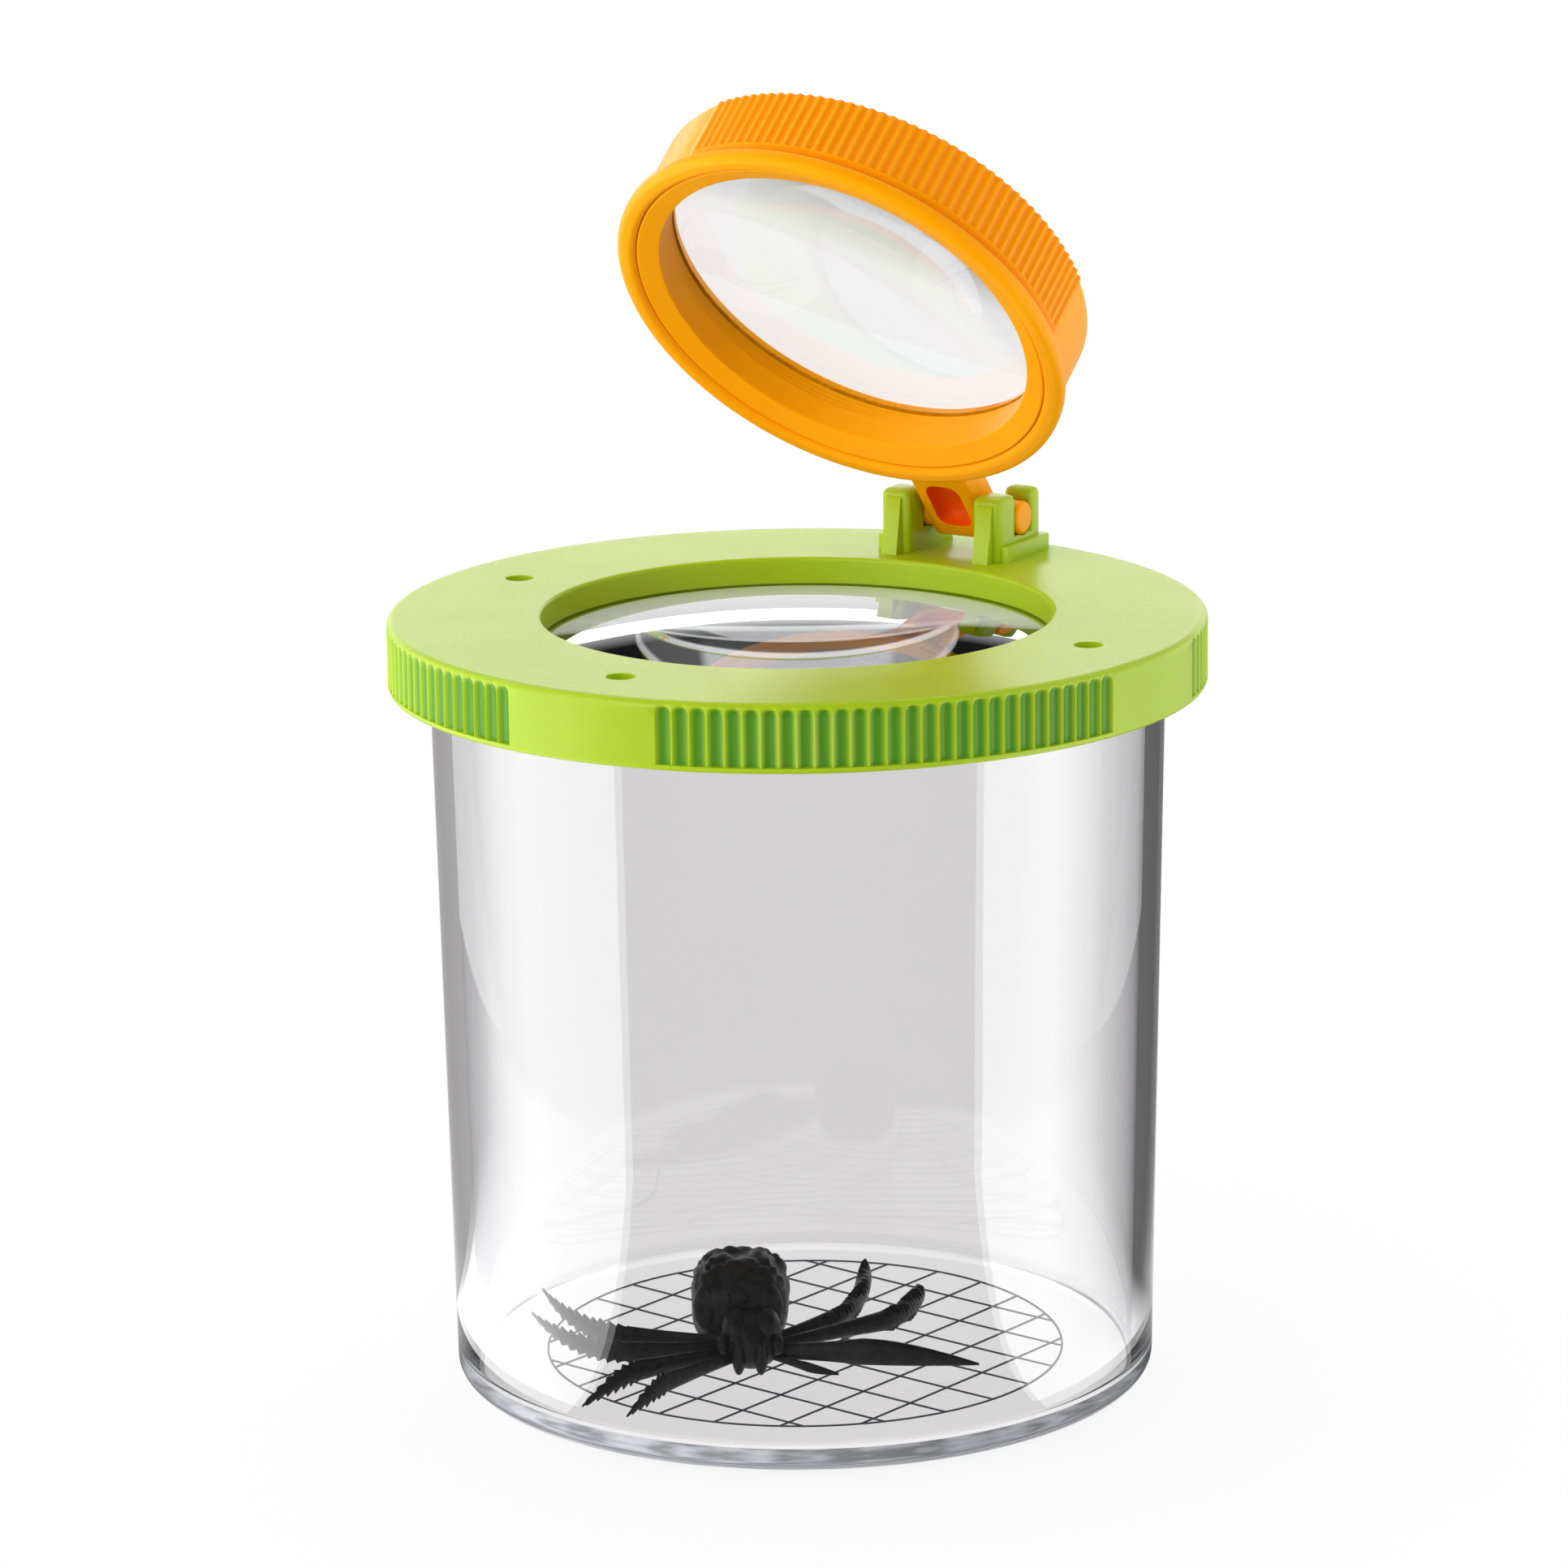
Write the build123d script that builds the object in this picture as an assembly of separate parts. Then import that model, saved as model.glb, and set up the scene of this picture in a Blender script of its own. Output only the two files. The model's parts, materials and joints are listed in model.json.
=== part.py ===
from build123d import *
import math
import os

# Clear jar
JAR_HEIGHT = 65.2
JAR_BASE_RADIUS = 30.3
JAR_DRAFT = 1.05
JAR_WALL = 1.75
JAR_FLOOR = 1.7
JAR_FOOT_ROUND = 1.45
JAR_CORNER_ROUND = 0.9
JAR_RIM_ROUND = 0.3

# Line grid printed on the jar's floor
GRID_CELL = 5.0
GRID_RADIUS = 22.5
GRID_LINE = 0.15
GRID_INK = 0.12
GRID_TURN = -8.5

# Length of the cutters that pass right through
CUT_LENGTH = 12.0

# Lid: ring plate with a skirt, a window with a lens, air holes and two pin cradles
LID_OVERHANG = 3.5
LID_PLATE = 1.8
LID_HEIGHT = 5.8
LID_SKIRT_WALL = 1.7
LID_EDGE_ROUND = 0.6
LID_SKIRT_ROUND = 0.3
LID_SEAT_DEPTH = 1.8
LID_FIT = 0.15
WINDOW_RADIUS = 21.85
WINDOW_DEPTH = 2.4
WINDOW_ROUND = 0.35
VENT_DIAMETER = 2.5
VENT_FROM_WALL = 1.55
VENT_ANGLES = (0, 180, 270)

# Flutes in the lid's skirt, in four sectors between smooth fields
SKIRT_FLUTES = 28
SKIRT_FLUTE_PITCH = 2.39
SKIRT_FLUTE_RADIUS = 0.75
SKIRT_FLUTE_DEPTH = 0.4
SKIRT_FLUTE_MARGIN = 0.5
SKIRT_SECTORS = (45, 135, 225, 315)

# Lenses, with one clearance for every lens and ring in its bore
LENS_FIT = 0.05
LID_LENS_LEDGE = 1.15
LID_LENS_RIM = 1.5
LID_LENS_BULGE = 2.2
SOCKET_WALL = 1.6
RETAINER_HEIGHT = 1.4

# Hinge: pin stubs on the magnifier's arm, cradles on the lid
HINGE_INSET = 5.8
HINGE_RISE = 3.3
PIN_RADIUS = 1.5
PIN_FIT = 0.06
PIN_PROUD = 0.1
PIN_END_ROUND = 0.4
ARM_WIDTH = 5.8
ARM_SIDE_GAP = 0.3
ARM_THICKNESS = 3.2
ARM_TAIL = 0.3
ARM_ROUND = 0.5
POCKET_WIDTH = 3.4
POCKET_LENGTH = 5.3
POCKET_DEPTH = 1.6
POCKET_ROUND = 1.1
POCKET_FROM_TAIL = 1.7
POST_WIDTH = 2.8
POST_HEIGHT = 5.7
POST_ROUND = 0.6
FRONT_POST_DEPTH = 2.9
REAR_POST_DEPTH = 1.6
SNAP_THROAT = 2.6
CRADLE_BED = 1.9
CRADLE_LEDGE = 0.6
CRADLE_LEDGE_HEIGHT = 1.4
CRADLE_END = 0.5
GUSSET_WIDTH = 1.5
GUSSET_FOOT = 1.1
GUSSET_TOP_GAP = 0.6

# Flip-up magnifier: heights are measured from its underside when it is closed
MAGNIFIER_OPEN = 51.0
MAGNIFIER_SINK = 1.2
MAGNIFIER_FORWARD = 0.4
FRAME_HEIGHT = 8.4
WINDOW_GAP = 1.25
FRAME_WALL = 0.9
FLANGE_WIDTH = 1.7
FLANGE_HEIGHT = 1.4
FLANGE_ROUND = 0.65
FLANGE_GROOVE = 0.4
FRAME_LIP_HEIGHT = 1.5
FRAME_EDGE_ROUND = 0.32
PAD_RISE = 0.4
PAD_START = -24.0
PAD_FLUTES = 42
PAD_FLUTE_PITCH = 2.76
PAD_FLUTE_RADIUS = 0.6
PAD_FLUTE_DEPTH = 0.3
PAD_BORDER = 0.7
MAGNIFIER_LENS_RIM = 1.6
MAGNIFIER_LENS_BULGE_UP = 1.3
MAGNIFIER_LENS_BULGE_DOWN = 1.9
MAGNIFIER_LENS_LAND = 1.3
BEZEL_SINK = 0.35
BEZEL_CONE = 0.85
BEZEL_ROUND = 0.17
BEZEL_STEP = 0.2
BEZEL_STEP_HEIGHT = 0.55
BEZEL_STEPS = 3

# Toy spider: body sizes, and each leg's hip, knee and tip on the floor plan with heights above the floor
SPIDER_FACING = -62.0
SPIDER_ABDOMEN = (-3.4, -5.2)
SPIDER_ABDOMEN_WIDTH = 8.4
SPIDER_ABDOMEN_LENGTH = 9.6
SPIDER_ABDOMEN_RISE = 4.6
SPIDER_HEAD = (0.4, -9.6)
SPIDER_HEAD_WIDTH = 5.4
SPIDER_HEAD_LENGTH = 6.4
SPIDER_HEAD_RISE = 2.9
SPIDER_TAPER = 0.3
SPIDER_GAP = 0.08
LEG_HIP_RADIUS = 0.8
LEG_KNEE_RADIUS = 0.9
LEG_KNEE_SWELL = 0.15
LEG_TIP_RADIUS = 0.25
SPIDER_LEGS = (
    ((-1.6, -9.8, 2.4), (-9.6, -13.0, 2.5), (-24.4, -5.2, 2.2)),
    ((-1.2, -10.6, 2.2), (-7.5, -16.1, 2.4), (-22.6, -9.5, 1.5)),
    ((-0.5, -11.2, 2.2), (-4.5, -19.6, 2.3), (-6.7, -25.0, 0.3)),
    ((0.3, -11.4, 2.0), (-1.3, -20.3, 2.0), (-2.1, -25.4, 0.3)),
    ((1.3, -8.2, 2.5), (2.8, -0.5, 2.3), (-2.9, 15.5, 2.2)),
    ((2.0, -8.8, 2.3), (6.9, 1.5, 2.3), (5.1, 11.7, 2.2)),
    ((2.3, -9.6, 2.1), (9.4, -6.5, 2.3), (17.0, 0.6, 0.3)),
    ((2.0, -10.3, 2.0), (5.4, -8.9, 1.4), (7.8, -7.5, 0.3)),
)


def jar_radius(height):
    """Outside radius of the jar at a height above the table."""
    return JAR_BASE_RADIUS + height * math.tan(math.radians(JAR_DRAFT))


# The lid's sizes that follow from the jar and the window
JAR_RIM_RADIUS = jar_radius(JAR_HEIGHT)
LID_RADIUS = JAR_RIM_RADIUS + LID_OVERHANG
LID_TOP = JAR_HEIGHT + LID_PLATE
VENT_CIRCLE = JAR_RIM_RADIUS - JAR_WALL - VENT_FROM_WALL
LENS_SEAT = LID_TOP - WINDOW_DEPTH
LID_LENS_RADIUS = WINDOW_RADIUS + LID_LENS_LEDGE
LID_LENS_CLEAR = WINDOW_RADIUS - WINDOW_ROUND
LENS_BORE = LID_LENS_RADIUS + LENS_FIT
SOCKET_BOTTOM = LENS_SEAT - LID_LENS_RIM - RETAINER_HEIGHT
HINGE_Y = LID_RADIUS - HINGE_INSET
HINGE_Z = LID_TOP + HINGE_RISE
PIN_BORE = PIN_RADIUS + PIN_FIT
CRADLE_INNER = ARM_WIDTH / 2 + ARM_SIDE_GAP
PIN_LENGTH = 2 * (CRADLE_INNER + POST_WIDTH + PIN_PROUD)

# The hinge axis and the sizes that follow inside the magnifier, in its own frame
ARM_REACH = HINGE_Y + MAGNIFIER_FORWARD
ARM_LEVEL = HINGE_RISE + MAGNIFIER_SINK
FLANGE_RADIUS = WINDOW_RADIUS - WINDOW_GAP
FRAME_BORE = FLANGE_RADIUS - FLANGE_WIDTH
BAND_RADIUS = FRAME_BORE + FRAME_WALL
PAD_ARC = PAD_FLUTES * PAD_FLUTE_PITCH
MAGNIFIER_SHOULDER = FRAME_HEIGHT - FRAME_LIP_HEIGHT
MAGNIFIER_LENS_RADIUS = FRAME_BORE - LENS_FIT
MAGNIFIER_LENS_CLEAR = MAGNIFIER_LENS_RADIUS - MAGNIFIER_LENS_LAND
BEZEL_TOP = MAGNIFIER_SHOULDER - MAGNIFIER_LENS_RIM


def turned(corners, arc=360):
    """Turn a closed outline of (radius, height, rounding) corners about the Z axis."""
    face = make_face(Polyline(*[(radius, height) for radius, height, _ in corners], close=True))
    for radius, height, rounding in corners:
        if rounding:
            face = fillet(face.vertices().sort_by_distance((radius, height))[0], rounding)
    return revolve(Plane.XZ * face, Axis.Z, arc)


def box(x_range, y_range, z_range):
    """Upright box between pairs of coordinates."""
    size = [high - low for low, high in (x_range, y_range, z_range)]
    low_corner = (x_range[0], y_range[0], z_range[0])
    return Pos(*low_corner) * Box(*size, align=(Align.MIN, Align.MIN, Align.MIN))


def polar(tool, radius, angles):
    """Copies of a tool on a circle about the Z axis."""
    return [Rot(Z=angle) * Pos(X=radius) * tool for angle in angles]


def lens(radius, clear, rim_low, rim_high, bulge_down, bulge_up):
    """Biconvex lens: a flat rim between two heights, and a spherical cap of the clear radius each side."""

    def cap_rise(bulge, at):
        sphere = (clear**2 + bulge**2) / (2 * bulge)
        return math.sqrt(sphere**2 - at**2) - (sphere - bulge)

    middle = clear / 2
    outline = [
        ThreePointArc(
            (0, rim_low - bulge_down),
            (middle, rim_low - cap_rise(bulge_down, middle)),
            (clear, rim_low),
        ),
        Polyline((clear, rim_low), (radius, rim_low), (radius, rim_high), (clear, rim_high)),
        ThreePointArc(
            (clear, rim_high),
            (middle, rim_high + cap_rise(bulge_up, middle)),
            (0, rim_high + bulge_up),
        ),
        Line((0, rim_high + bulge_up), (0, rim_low - bulge_down)),
    ]
    return revolve(Plane.XZ * make_face(outline), Axis.Z)


def jar():
    """Drafted beaker with a rounded foot."""
    return turned(
        [
            (0, 0, 0),
            (JAR_BASE_RADIUS, 0, JAR_FOOT_ROUND),
            (JAR_RIM_RADIUS, JAR_HEIGHT, JAR_RIM_ROUND),
            (JAR_RIM_RADIUS - JAR_WALL, JAR_HEIGHT, JAR_RIM_ROUND),
            (jar_radius(JAR_FLOOR) - JAR_WALL, JAR_FLOOR, JAR_CORNER_ROUND),
            (0, JAR_FLOOR, 0),
        ]
    )


def measuring_grid():
    """Square line grid inside a ring line, with a cell centred on the axis."""
    inner = GRID_RADIUS - GRID_LINE / 2
    half_lines = int(inner / GRID_CELL - 0.5) + 1
    offsets = [(step + 0.5) * GRID_CELL for step in range(-half_lines, half_lines)]
    ring = Circle(GRID_RADIUS + GRID_LINE / 2) - Circle(inner)
    bars = [Pos(X=offset) * Rectangle(GRID_LINE, 2 * GRID_RADIUS) for offset in offsets]
    bars += [Rot(Z=90) * bar for bar in bars]
    lines = ring + [bar & Circle(GRID_RADIUS) for bar in bars]
    return Pos(Z=JAR_FLOOR) * Rot(Z=GRID_TURN) * extrude(lines, GRID_INK)


def lid_ring():
    """Turned body of the lid: plate, skirt, jar seat and lens socket."""
    skirt_bottom = LID_TOP - LID_HEIGHT
    skirt_inner = LID_RADIUS - LID_SKIRT_WALL
    seat_radius = JAR_RIM_RADIUS + LID_FIT
    seat_bottom = JAR_HEIGHT - LID_SEAT_DEPTH
    socket_outer = LENS_BORE + SOCKET_WALL
    return turned(
        [
            (WINDOW_RADIUS, LID_TOP, WINDOW_ROUND),
            (LID_RADIUS, LID_TOP, LID_EDGE_ROUND),
            (LID_RADIUS, skirt_bottom, LID_SKIRT_ROUND),
            (skirt_inner, skirt_bottom, 0),
            (skirt_inner, seat_bottom, 0),
            (seat_radius, seat_bottom, 0),
            (seat_radius, JAR_HEIGHT, 0),
            (socket_outer, JAR_HEIGHT, 0),
            (socket_outer, SOCKET_BOTTOM, 0),
            (LENS_BORE, SOCKET_BOTTOM, 0),
            (LENS_BORE, LENS_SEAT, 0),
            (WINDOW_RADIUS, LENS_SEAT, 0),
        ]
    )


def skirt_flutes():
    """Cutters of the grip flutes, which stop short of the skirt's two edges."""
    length = LID_HEIGHT - LID_EDGE_ROUND - SKIRT_FLUTE_MARGIN
    cutter = Pos(Z=LID_TOP - LID_EDGE_ROUND - length / 2) * Cylinder(SKIRT_FLUTE_RADIUS, length)
    circle = LID_RADIUS + SKIRT_FLUTE_RADIUS - SKIRT_FLUTE_DEPTH
    middle = (SKIRT_FLUTES - 1) / 2
    angles = [
        sector + (flute - middle) * SKIRT_FLUTE_PITCH
        for sector in SKIRT_SECTORS
        for flute in range(SKIRT_FLUTES)
    ]
    return polar(cutter, circle, angles)


def post(depth_range):
    """One upright of a cradle, with a rounded top."""
    inner = CRADLE_INNER
    upright = box((inner, inner + POST_WIDTH), depth_range, (LID_TOP, LID_TOP + POST_HEIGHT))
    top = upright.faces().sort_by(Axis.Z)[-1]
    return fillet(top.edges().filter_by(Axis.Y), POST_ROUND)


def cradle():
    """Open bearing for one pin stub, on the positive X side: two posts on a bed, with a gusset."""
    bed_outer = CRADLE_INNER + POST_WIDTH
    throat = SNAP_THROAT / 2
    front = HINGE_Y - PIN_BORE - FRONT_POST_DEPTH
    rear = HINGE_Y + PIN_BORE + REAR_POST_DEPTH
    body = post((front, HINGE_Y - throat)) + post((HINGE_Y + throat, rear))
    body += box((CRADLE_INNER, bed_outer), (front, rear), (LID_TOP, LID_TOP + CRADLE_BED))
    body += box(
        (CRADLE_INNER, bed_outer + CRADLE_LEDGE),
        (front + CRADLE_END, rear + CRADLE_END),
        (LID_TOP, LID_TOP + CRADLE_LEDGE_HEIGHT),
    )
    middle = CRADLE_INNER + POST_WIDTH / 2
    side = make_face(
        Polyline(
            (front, LID_TOP),
            (front - GUSSET_FOOT, LID_TOP),
            (front, LID_TOP + POST_HEIGHT - GUSSET_TOP_GAP),
            close=True,
        )
    )
    body += Pos(X=middle) * extrude(Plane.YZ * side, GUSSET_WIDTH / 2, both=True)
    bore = Pos(middle, HINGE_Y, HINGE_Z) * Rot(Y=90) * Cylinder(PIN_BORE, CUT_LENGTH)
    return body - bore


def lid():
    """Lid ring with its flutes, air holes and both cradles."""
    vent = Pos(Z=LID_TOP) * Cylinder(VENT_DIAMETER / 2, CUT_LENGTH)
    body = lid_ring() - skirt_flutes() - polar(vent, VENT_CIRCLE, VENT_ANGLES)
    right = cradle()
    return body + right + mirror(right, Plane.YZ)


def lid_lens():
    """Lens that seats under the window's shoulder."""
    rim_low = LENS_SEAT - LID_LENS_RIM
    return lens(
        LID_LENS_RADIUS, LID_LENS_CLEAR, rim_low, LENS_SEAT, LID_LENS_BULGE, LID_LENS_BULGE
    )


def lid_lens_retainer():
    """Ring pressed into the socket below the lid's lens."""
    top = LENS_SEAT - LID_LENS_RIM
    inner = LID_LENS_CLEAR + LENS_FIT
    return turned(
        [
            (LID_LENS_RADIUS, SOCKET_BOTTOM, 0),
            (LID_LENS_RADIUS, top, 0),
            (inner, top, 0),
            (inner, SOCKET_BOTTOM, 0),
        ]
    )


def frame_ring():
    """Turned body of the magnifier frame: rolled flange, band, bore and the lip over the lens."""
    lip_inner = MAGNIFIER_LENS_CLEAR + LENS_FIT
    groove_floor = BAND_RADIUS - FLANGE_GROOVE
    return turned(
        [
            (FRAME_BORE, 0, FLANGE_ROUND),
            (FLANGE_RADIUS, 0, FLANGE_ROUND),
            (FLANGE_RADIUS, FLANGE_HEIGHT, FRAME_EDGE_ROUND),
            (groove_floor, FLANGE_HEIGHT, 0),
            (groove_floor, FLANGE_HEIGHT + FLANGE_GROOVE, 0),
            (BAND_RADIUS, FLANGE_HEIGHT + FLANGE_GROOVE, 0),
            (BAND_RADIUS, FRAME_HEIGHT, FRAME_EDGE_ROUND),
            (lip_inner, FRAME_HEIGHT, FRAME_EDGE_ROUND),
            (lip_inner, MAGNIFIER_SHOULDER, 0),
            (FRAME_BORE, MAGNIFIER_SHOULDER, 0),
        ]
    )


def grip_pad():
    """Raised fluted pad on part of the band, away from the hinge."""
    low = FLANGE_HEIGHT + FLANGE_GROOVE / 2
    high = FRAME_HEIGHT - FRAME_EDGE_ROUND
    outer = BAND_RADIUS + PAD_RISE
    root = BAND_RADIUS - FRAME_WALL / 2
    pad = turned([(root, low, 0), (outer, low, 0), (outer, high, 0), (root, high, 0)], PAD_ARC)
    flute_low = low + PAD_BORDER
    length = FRAME_HEIGHT - flute_low
    cutter = Pos(Z=flute_low + length / 2) * Cylinder(PAD_FLUTE_RADIUS, length)
    angles = [(flute + 0.5) * PAD_FLUTE_PITCH for flute in range(PAD_FLUTES)]
    pad -= polar(cutter, outer + PAD_FLUTE_RADIUS - PAD_FLUTE_DEPTH, angles)
    return Rot(Z=PAD_START - 90) * pad


def arm():
    """Hinge arm with its pin stubs and the pocket in its underside."""
    root = BAND_RADIUS - FRAME_WALL / 2
    tail = ARM_REACH + PIN_RADIUS + ARM_TAIL
    low = ARM_LEVEL - ARM_THICKNESS / 2
    high = ARM_LEVEL + ARM_THICKNESS / 2
    bar = box((-ARM_WIDTH / 2, ARM_WIDTH / 2), (root, tail), (low, high))
    bar = fillet(bar.edges().filter_by(Axis.Y), ARM_ROUND)
    pin = Cylinder(PIN_RADIUS, PIN_LENGTH)
    pin = fillet(pin.edges().filter_by(GeomType.CIRCLE), PIN_END_ROUND)
    bar += Pos(0, ARM_REACH, ARM_LEVEL) * Rot(Y=90) * pin
    pocket_middle = tail - POCKET_FROM_TAIL - POCKET_LENGTH / 2
    mouth = RectangleRounded(POCKET_WIDTH, POCKET_LENGTH, POCKET_ROUND)
    return bar - Pos(0, pocket_middle, low) * extrude(mouth, POCKET_DEPTH)


def magnifier_frame():
    """Magnifier frame in one moulding."""
    return frame_ring() + grip_pad() + arm()


def magnifier_lens():
    """Lens between the frame's lip and the bezel."""
    return lens(
        MAGNIFIER_LENS_RADIUS,
        MAGNIFIER_LENS_CLEAR,
        BEZEL_TOP,
        MAGNIFIER_SHOULDER,
        MAGNIFIER_LENS_BULGE_DOWN,
        MAGNIFIER_LENS_BULGE_UP,
    )


def magnifier_bezel():
    """Ring below the magnifier's lens: a conical face, a bore and fine steps up to the lens."""
    outer = MAGNIFIER_LENS_RADIUS
    top_bore = MAGNIFIER_LENS_CLEAR + LENS_FIT
    inner = top_bore - BEZEL_STEPS * BEZEL_STEP
    corners = [
        (outer, BEZEL_SINK, BEZEL_ROUND),
        (inner, BEZEL_SINK + BEZEL_CONE, BEZEL_ROUND),
    ]
    for step in range(BEZEL_STEPS):
        height = BEZEL_TOP - (BEZEL_STEPS - step) * BEZEL_STEP_HEIGHT
        radius = inner + (step + 1) * BEZEL_STEP
        corners += [(radius - BEZEL_STEP, height, 0), (radius, height, 0)]
    corners += [(top_bore, BEZEL_TOP, 0), (outer, BEZEL_TOP, 0)]
    return turned(corners)


def opened(piece):
    """A magnifier piece, swung open about the hinge from its place in the lid's window."""
    swing = Pos(0, HINGE_Y, HINGE_Z) * Rot(X=-MAGNIFIER_OPEN)
    return swing * Pos(0, -ARM_REACH, -ARM_LEVEL) * piece


def limb(start, end, start_radius, end_radius):
    """Straight round limb that tapers from one point to another."""
    along = Vector(*end) - Vector(*start)
    middle_low = (Align.CENTER, Align.CENTER, Align.MIN)
    return Plane(origin=start, z_dir=along) * Cone(
        start_radius, end_radius, along.length, align=middle_low
    )


def lobe(middle, radius):
    """Ball on the X axis, with its poles on that axis and its seam on top, clear of the legs."""
    return Plane(origin=(middle, 0, 0), x_dir=(0, 0, 1), z_dir=(1, 0, 0)) * Sphere(radius)


def egg(width, length):
    """Rounded body along the X axis: a front lobe and a slightly smaller rear lobe."""
    front = width / 2
    rear = front - SPIDER_TAPER
    return lobe(length / 2 - front, front) + lobe(rear - length / 2, rear)


def knee_ball(hip, knee, tip):
    """Swelling of a knee, with its seam turned to the side, clear of both limbs."""
    along = Vector(*tip) - Vector(*hip)
    return Plane(origin=knee, x_dir=(-along.Y, along.X, 0)) * Sphere(LEG_KNEE_RADIUS + LEG_KNEE_SWELL)


def toy_spider():
    """Spider in one moulding: abdomen, head and eight two-part legs."""
    floor = JAR_FLOOR + GRID_INK + SPIDER_GAP
    facing = Rot(Z=SPIDER_FACING)
    body = Pos(*SPIDER_ABDOMEN, floor + SPIDER_ABDOMEN_RISE) * facing * egg(
        SPIDER_ABDOMEN_WIDTH, SPIDER_ABDOMEN_LENGTH
    )
    body += Pos(*SPIDER_HEAD, floor + SPIDER_HEAD_RISE) * facing * egg(
        SPIDER_HEAD_WIDTH, SPIDER_HEAD_LENGTH
    )
    legs = []
    for leg in SPIDER_LEGS:
        hip, knee, tip = [(x, y, floor + rise) for x, y, rise in leg]
        thigh = limb(hip, knee, LEG_HIP_RADIUS, LEG_KNEE_RADIUS)
        shin = limb(knee, tip, LEG_KNEE_RADIUS, LEG_TIP_RADIUS)
        legs.append(knee_ball(hip, knee, tip) + thigh + shin)
    return body + legs


NODES = {
    "jar": jar(),
    "measuring_grid": measuring_grid(),
    "lid": lid(),
    "lid_lens": lid_lens(),
    "lid_lens_retainer": lid_lens_retainer(),
    "magnifier_frame": opened(magnifier_frame()),
    "magnifier_lens": opened(magnifier_lens()),
    "magnifier_bezel": opened(magnifier_bezel()),
    "toy_spider": toy_spider(),
}

os.makedirs("parts", exist_ok=True)
for name, piece in NODES.items():
    export_step(piece, f"parts/{name}.step")
    print(name, round(piece.volume, 1), len(piece.solids()))
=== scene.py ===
import json
import math

import bmesh
import bpy
from mathutils import Matrix, Vector, noise


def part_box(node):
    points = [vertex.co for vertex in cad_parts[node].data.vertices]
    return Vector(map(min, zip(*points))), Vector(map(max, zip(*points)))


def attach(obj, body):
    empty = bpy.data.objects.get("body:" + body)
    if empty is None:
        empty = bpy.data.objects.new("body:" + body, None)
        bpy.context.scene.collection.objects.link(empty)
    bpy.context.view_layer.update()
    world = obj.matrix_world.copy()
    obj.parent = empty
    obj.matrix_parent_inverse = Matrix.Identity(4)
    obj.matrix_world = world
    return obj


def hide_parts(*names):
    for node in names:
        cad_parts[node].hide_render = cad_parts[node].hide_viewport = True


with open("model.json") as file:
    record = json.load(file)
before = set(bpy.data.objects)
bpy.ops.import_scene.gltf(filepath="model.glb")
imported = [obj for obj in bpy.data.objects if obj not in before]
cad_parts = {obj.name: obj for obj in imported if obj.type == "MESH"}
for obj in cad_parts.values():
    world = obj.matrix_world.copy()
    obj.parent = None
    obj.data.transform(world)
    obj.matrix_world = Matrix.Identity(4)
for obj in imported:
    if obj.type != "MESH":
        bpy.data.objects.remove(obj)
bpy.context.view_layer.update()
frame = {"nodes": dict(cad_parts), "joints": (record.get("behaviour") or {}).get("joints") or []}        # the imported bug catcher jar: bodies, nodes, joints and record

# Lengths are millimetres in the CAD frame, and meshes are scaled to metres as they are made
MM = 0.001
UNMOVED = Matrix.Identity(4)
TURN_STEPS = 256
ARC_STEPS = 6
BEVEL_STEPS = 3
BEVEL_PROFILE = 0.5
SUPPORT = 0.05
SHARP_ANGLE = math.radians(38)
AXIS_RADIUS = 1e-6
STEP_GAP = 0.02
ROD_STEPS = 64

# Sizes that the frame gives
JAR_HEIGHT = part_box("jar")[1].z / MM
JAR_RIM_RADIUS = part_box("jar")[1].x / MM
LID_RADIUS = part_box("lid")[1].x / MM
POST_HEIGHT = 5.7
LID_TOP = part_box("lid")[1].z / MM - POST_HEIGHT
FOLD = next(joint for joint in frame["joints"] if joint["name"] == "magnifier_fold")
HINGE_Y = FOLD["pos_m"][1] / MM
HINGE_Z = FOLD["pos_m"][2] / MM
MAGNIFIER_OPEN = -math.radians(FOLD["range_deg"][0])

# Clear jar
JAR_BASE_RADIUS = 30.3
JAR_WALL = 1.75
JAR_FLOOR = 1.69
JAR_FOOT_ROUND = 1.45
JAR_CORNER_ROUND = 0.9
JAR_RIM_ROUND = 0.3

# Lid
LID_HEIGHT = 5.8
LID_SKIRT_WALL = 1.7
LID_EDGE_ROUND = 0.6
LID_SMALL_ROUND = 0.3
LID_FIT = 0.15
LID_SEAT_DEPTH = 1.8
WINDOW_RADIUS = 21.85
WINDOW_DEPTH = 2.4
VENT_RADIUS = 1.25
VENT_CIRCLE = 28.2
VENT_ANGLES = (0, 180, 270)
FLUTES = 28
FLUTE_PITCH = math.radians(2.39)
FLUTE_RADIUS = 0.75
FLUTE_DEPTH = 0.4
FLUTE_END = 0.5
FLUTE_SECTORS = (45, 135, 225, 315)
FLUTE_SOFTNESS = 0.1
FLUTE_STEPS = 8
FIELD_STEP = math.radians(1.5)
SKIRT_ROW = 0.3
# Distance over which the painted shade in the flutes fades in
FLUTE_SHADE_FADE = 0.06

# Lenses
LENS_FIT = 0.05
LENS_LEDGE = 1.15
LID_LENS_RIM = 1.5
LID_LENS_BULGE = 2.2
LENS_STEPS = 40
SOCKET_WALL = 1.6
RETAINER_HEIGHT = 1.4
LENS_SEAT = LID_TOP - WINDOW_DEPTH
LID_LENS_RADIUS = WINDOW_RADIUS + LENS_LEDGE
LID_LENS_CLEAR = 21.5

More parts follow.
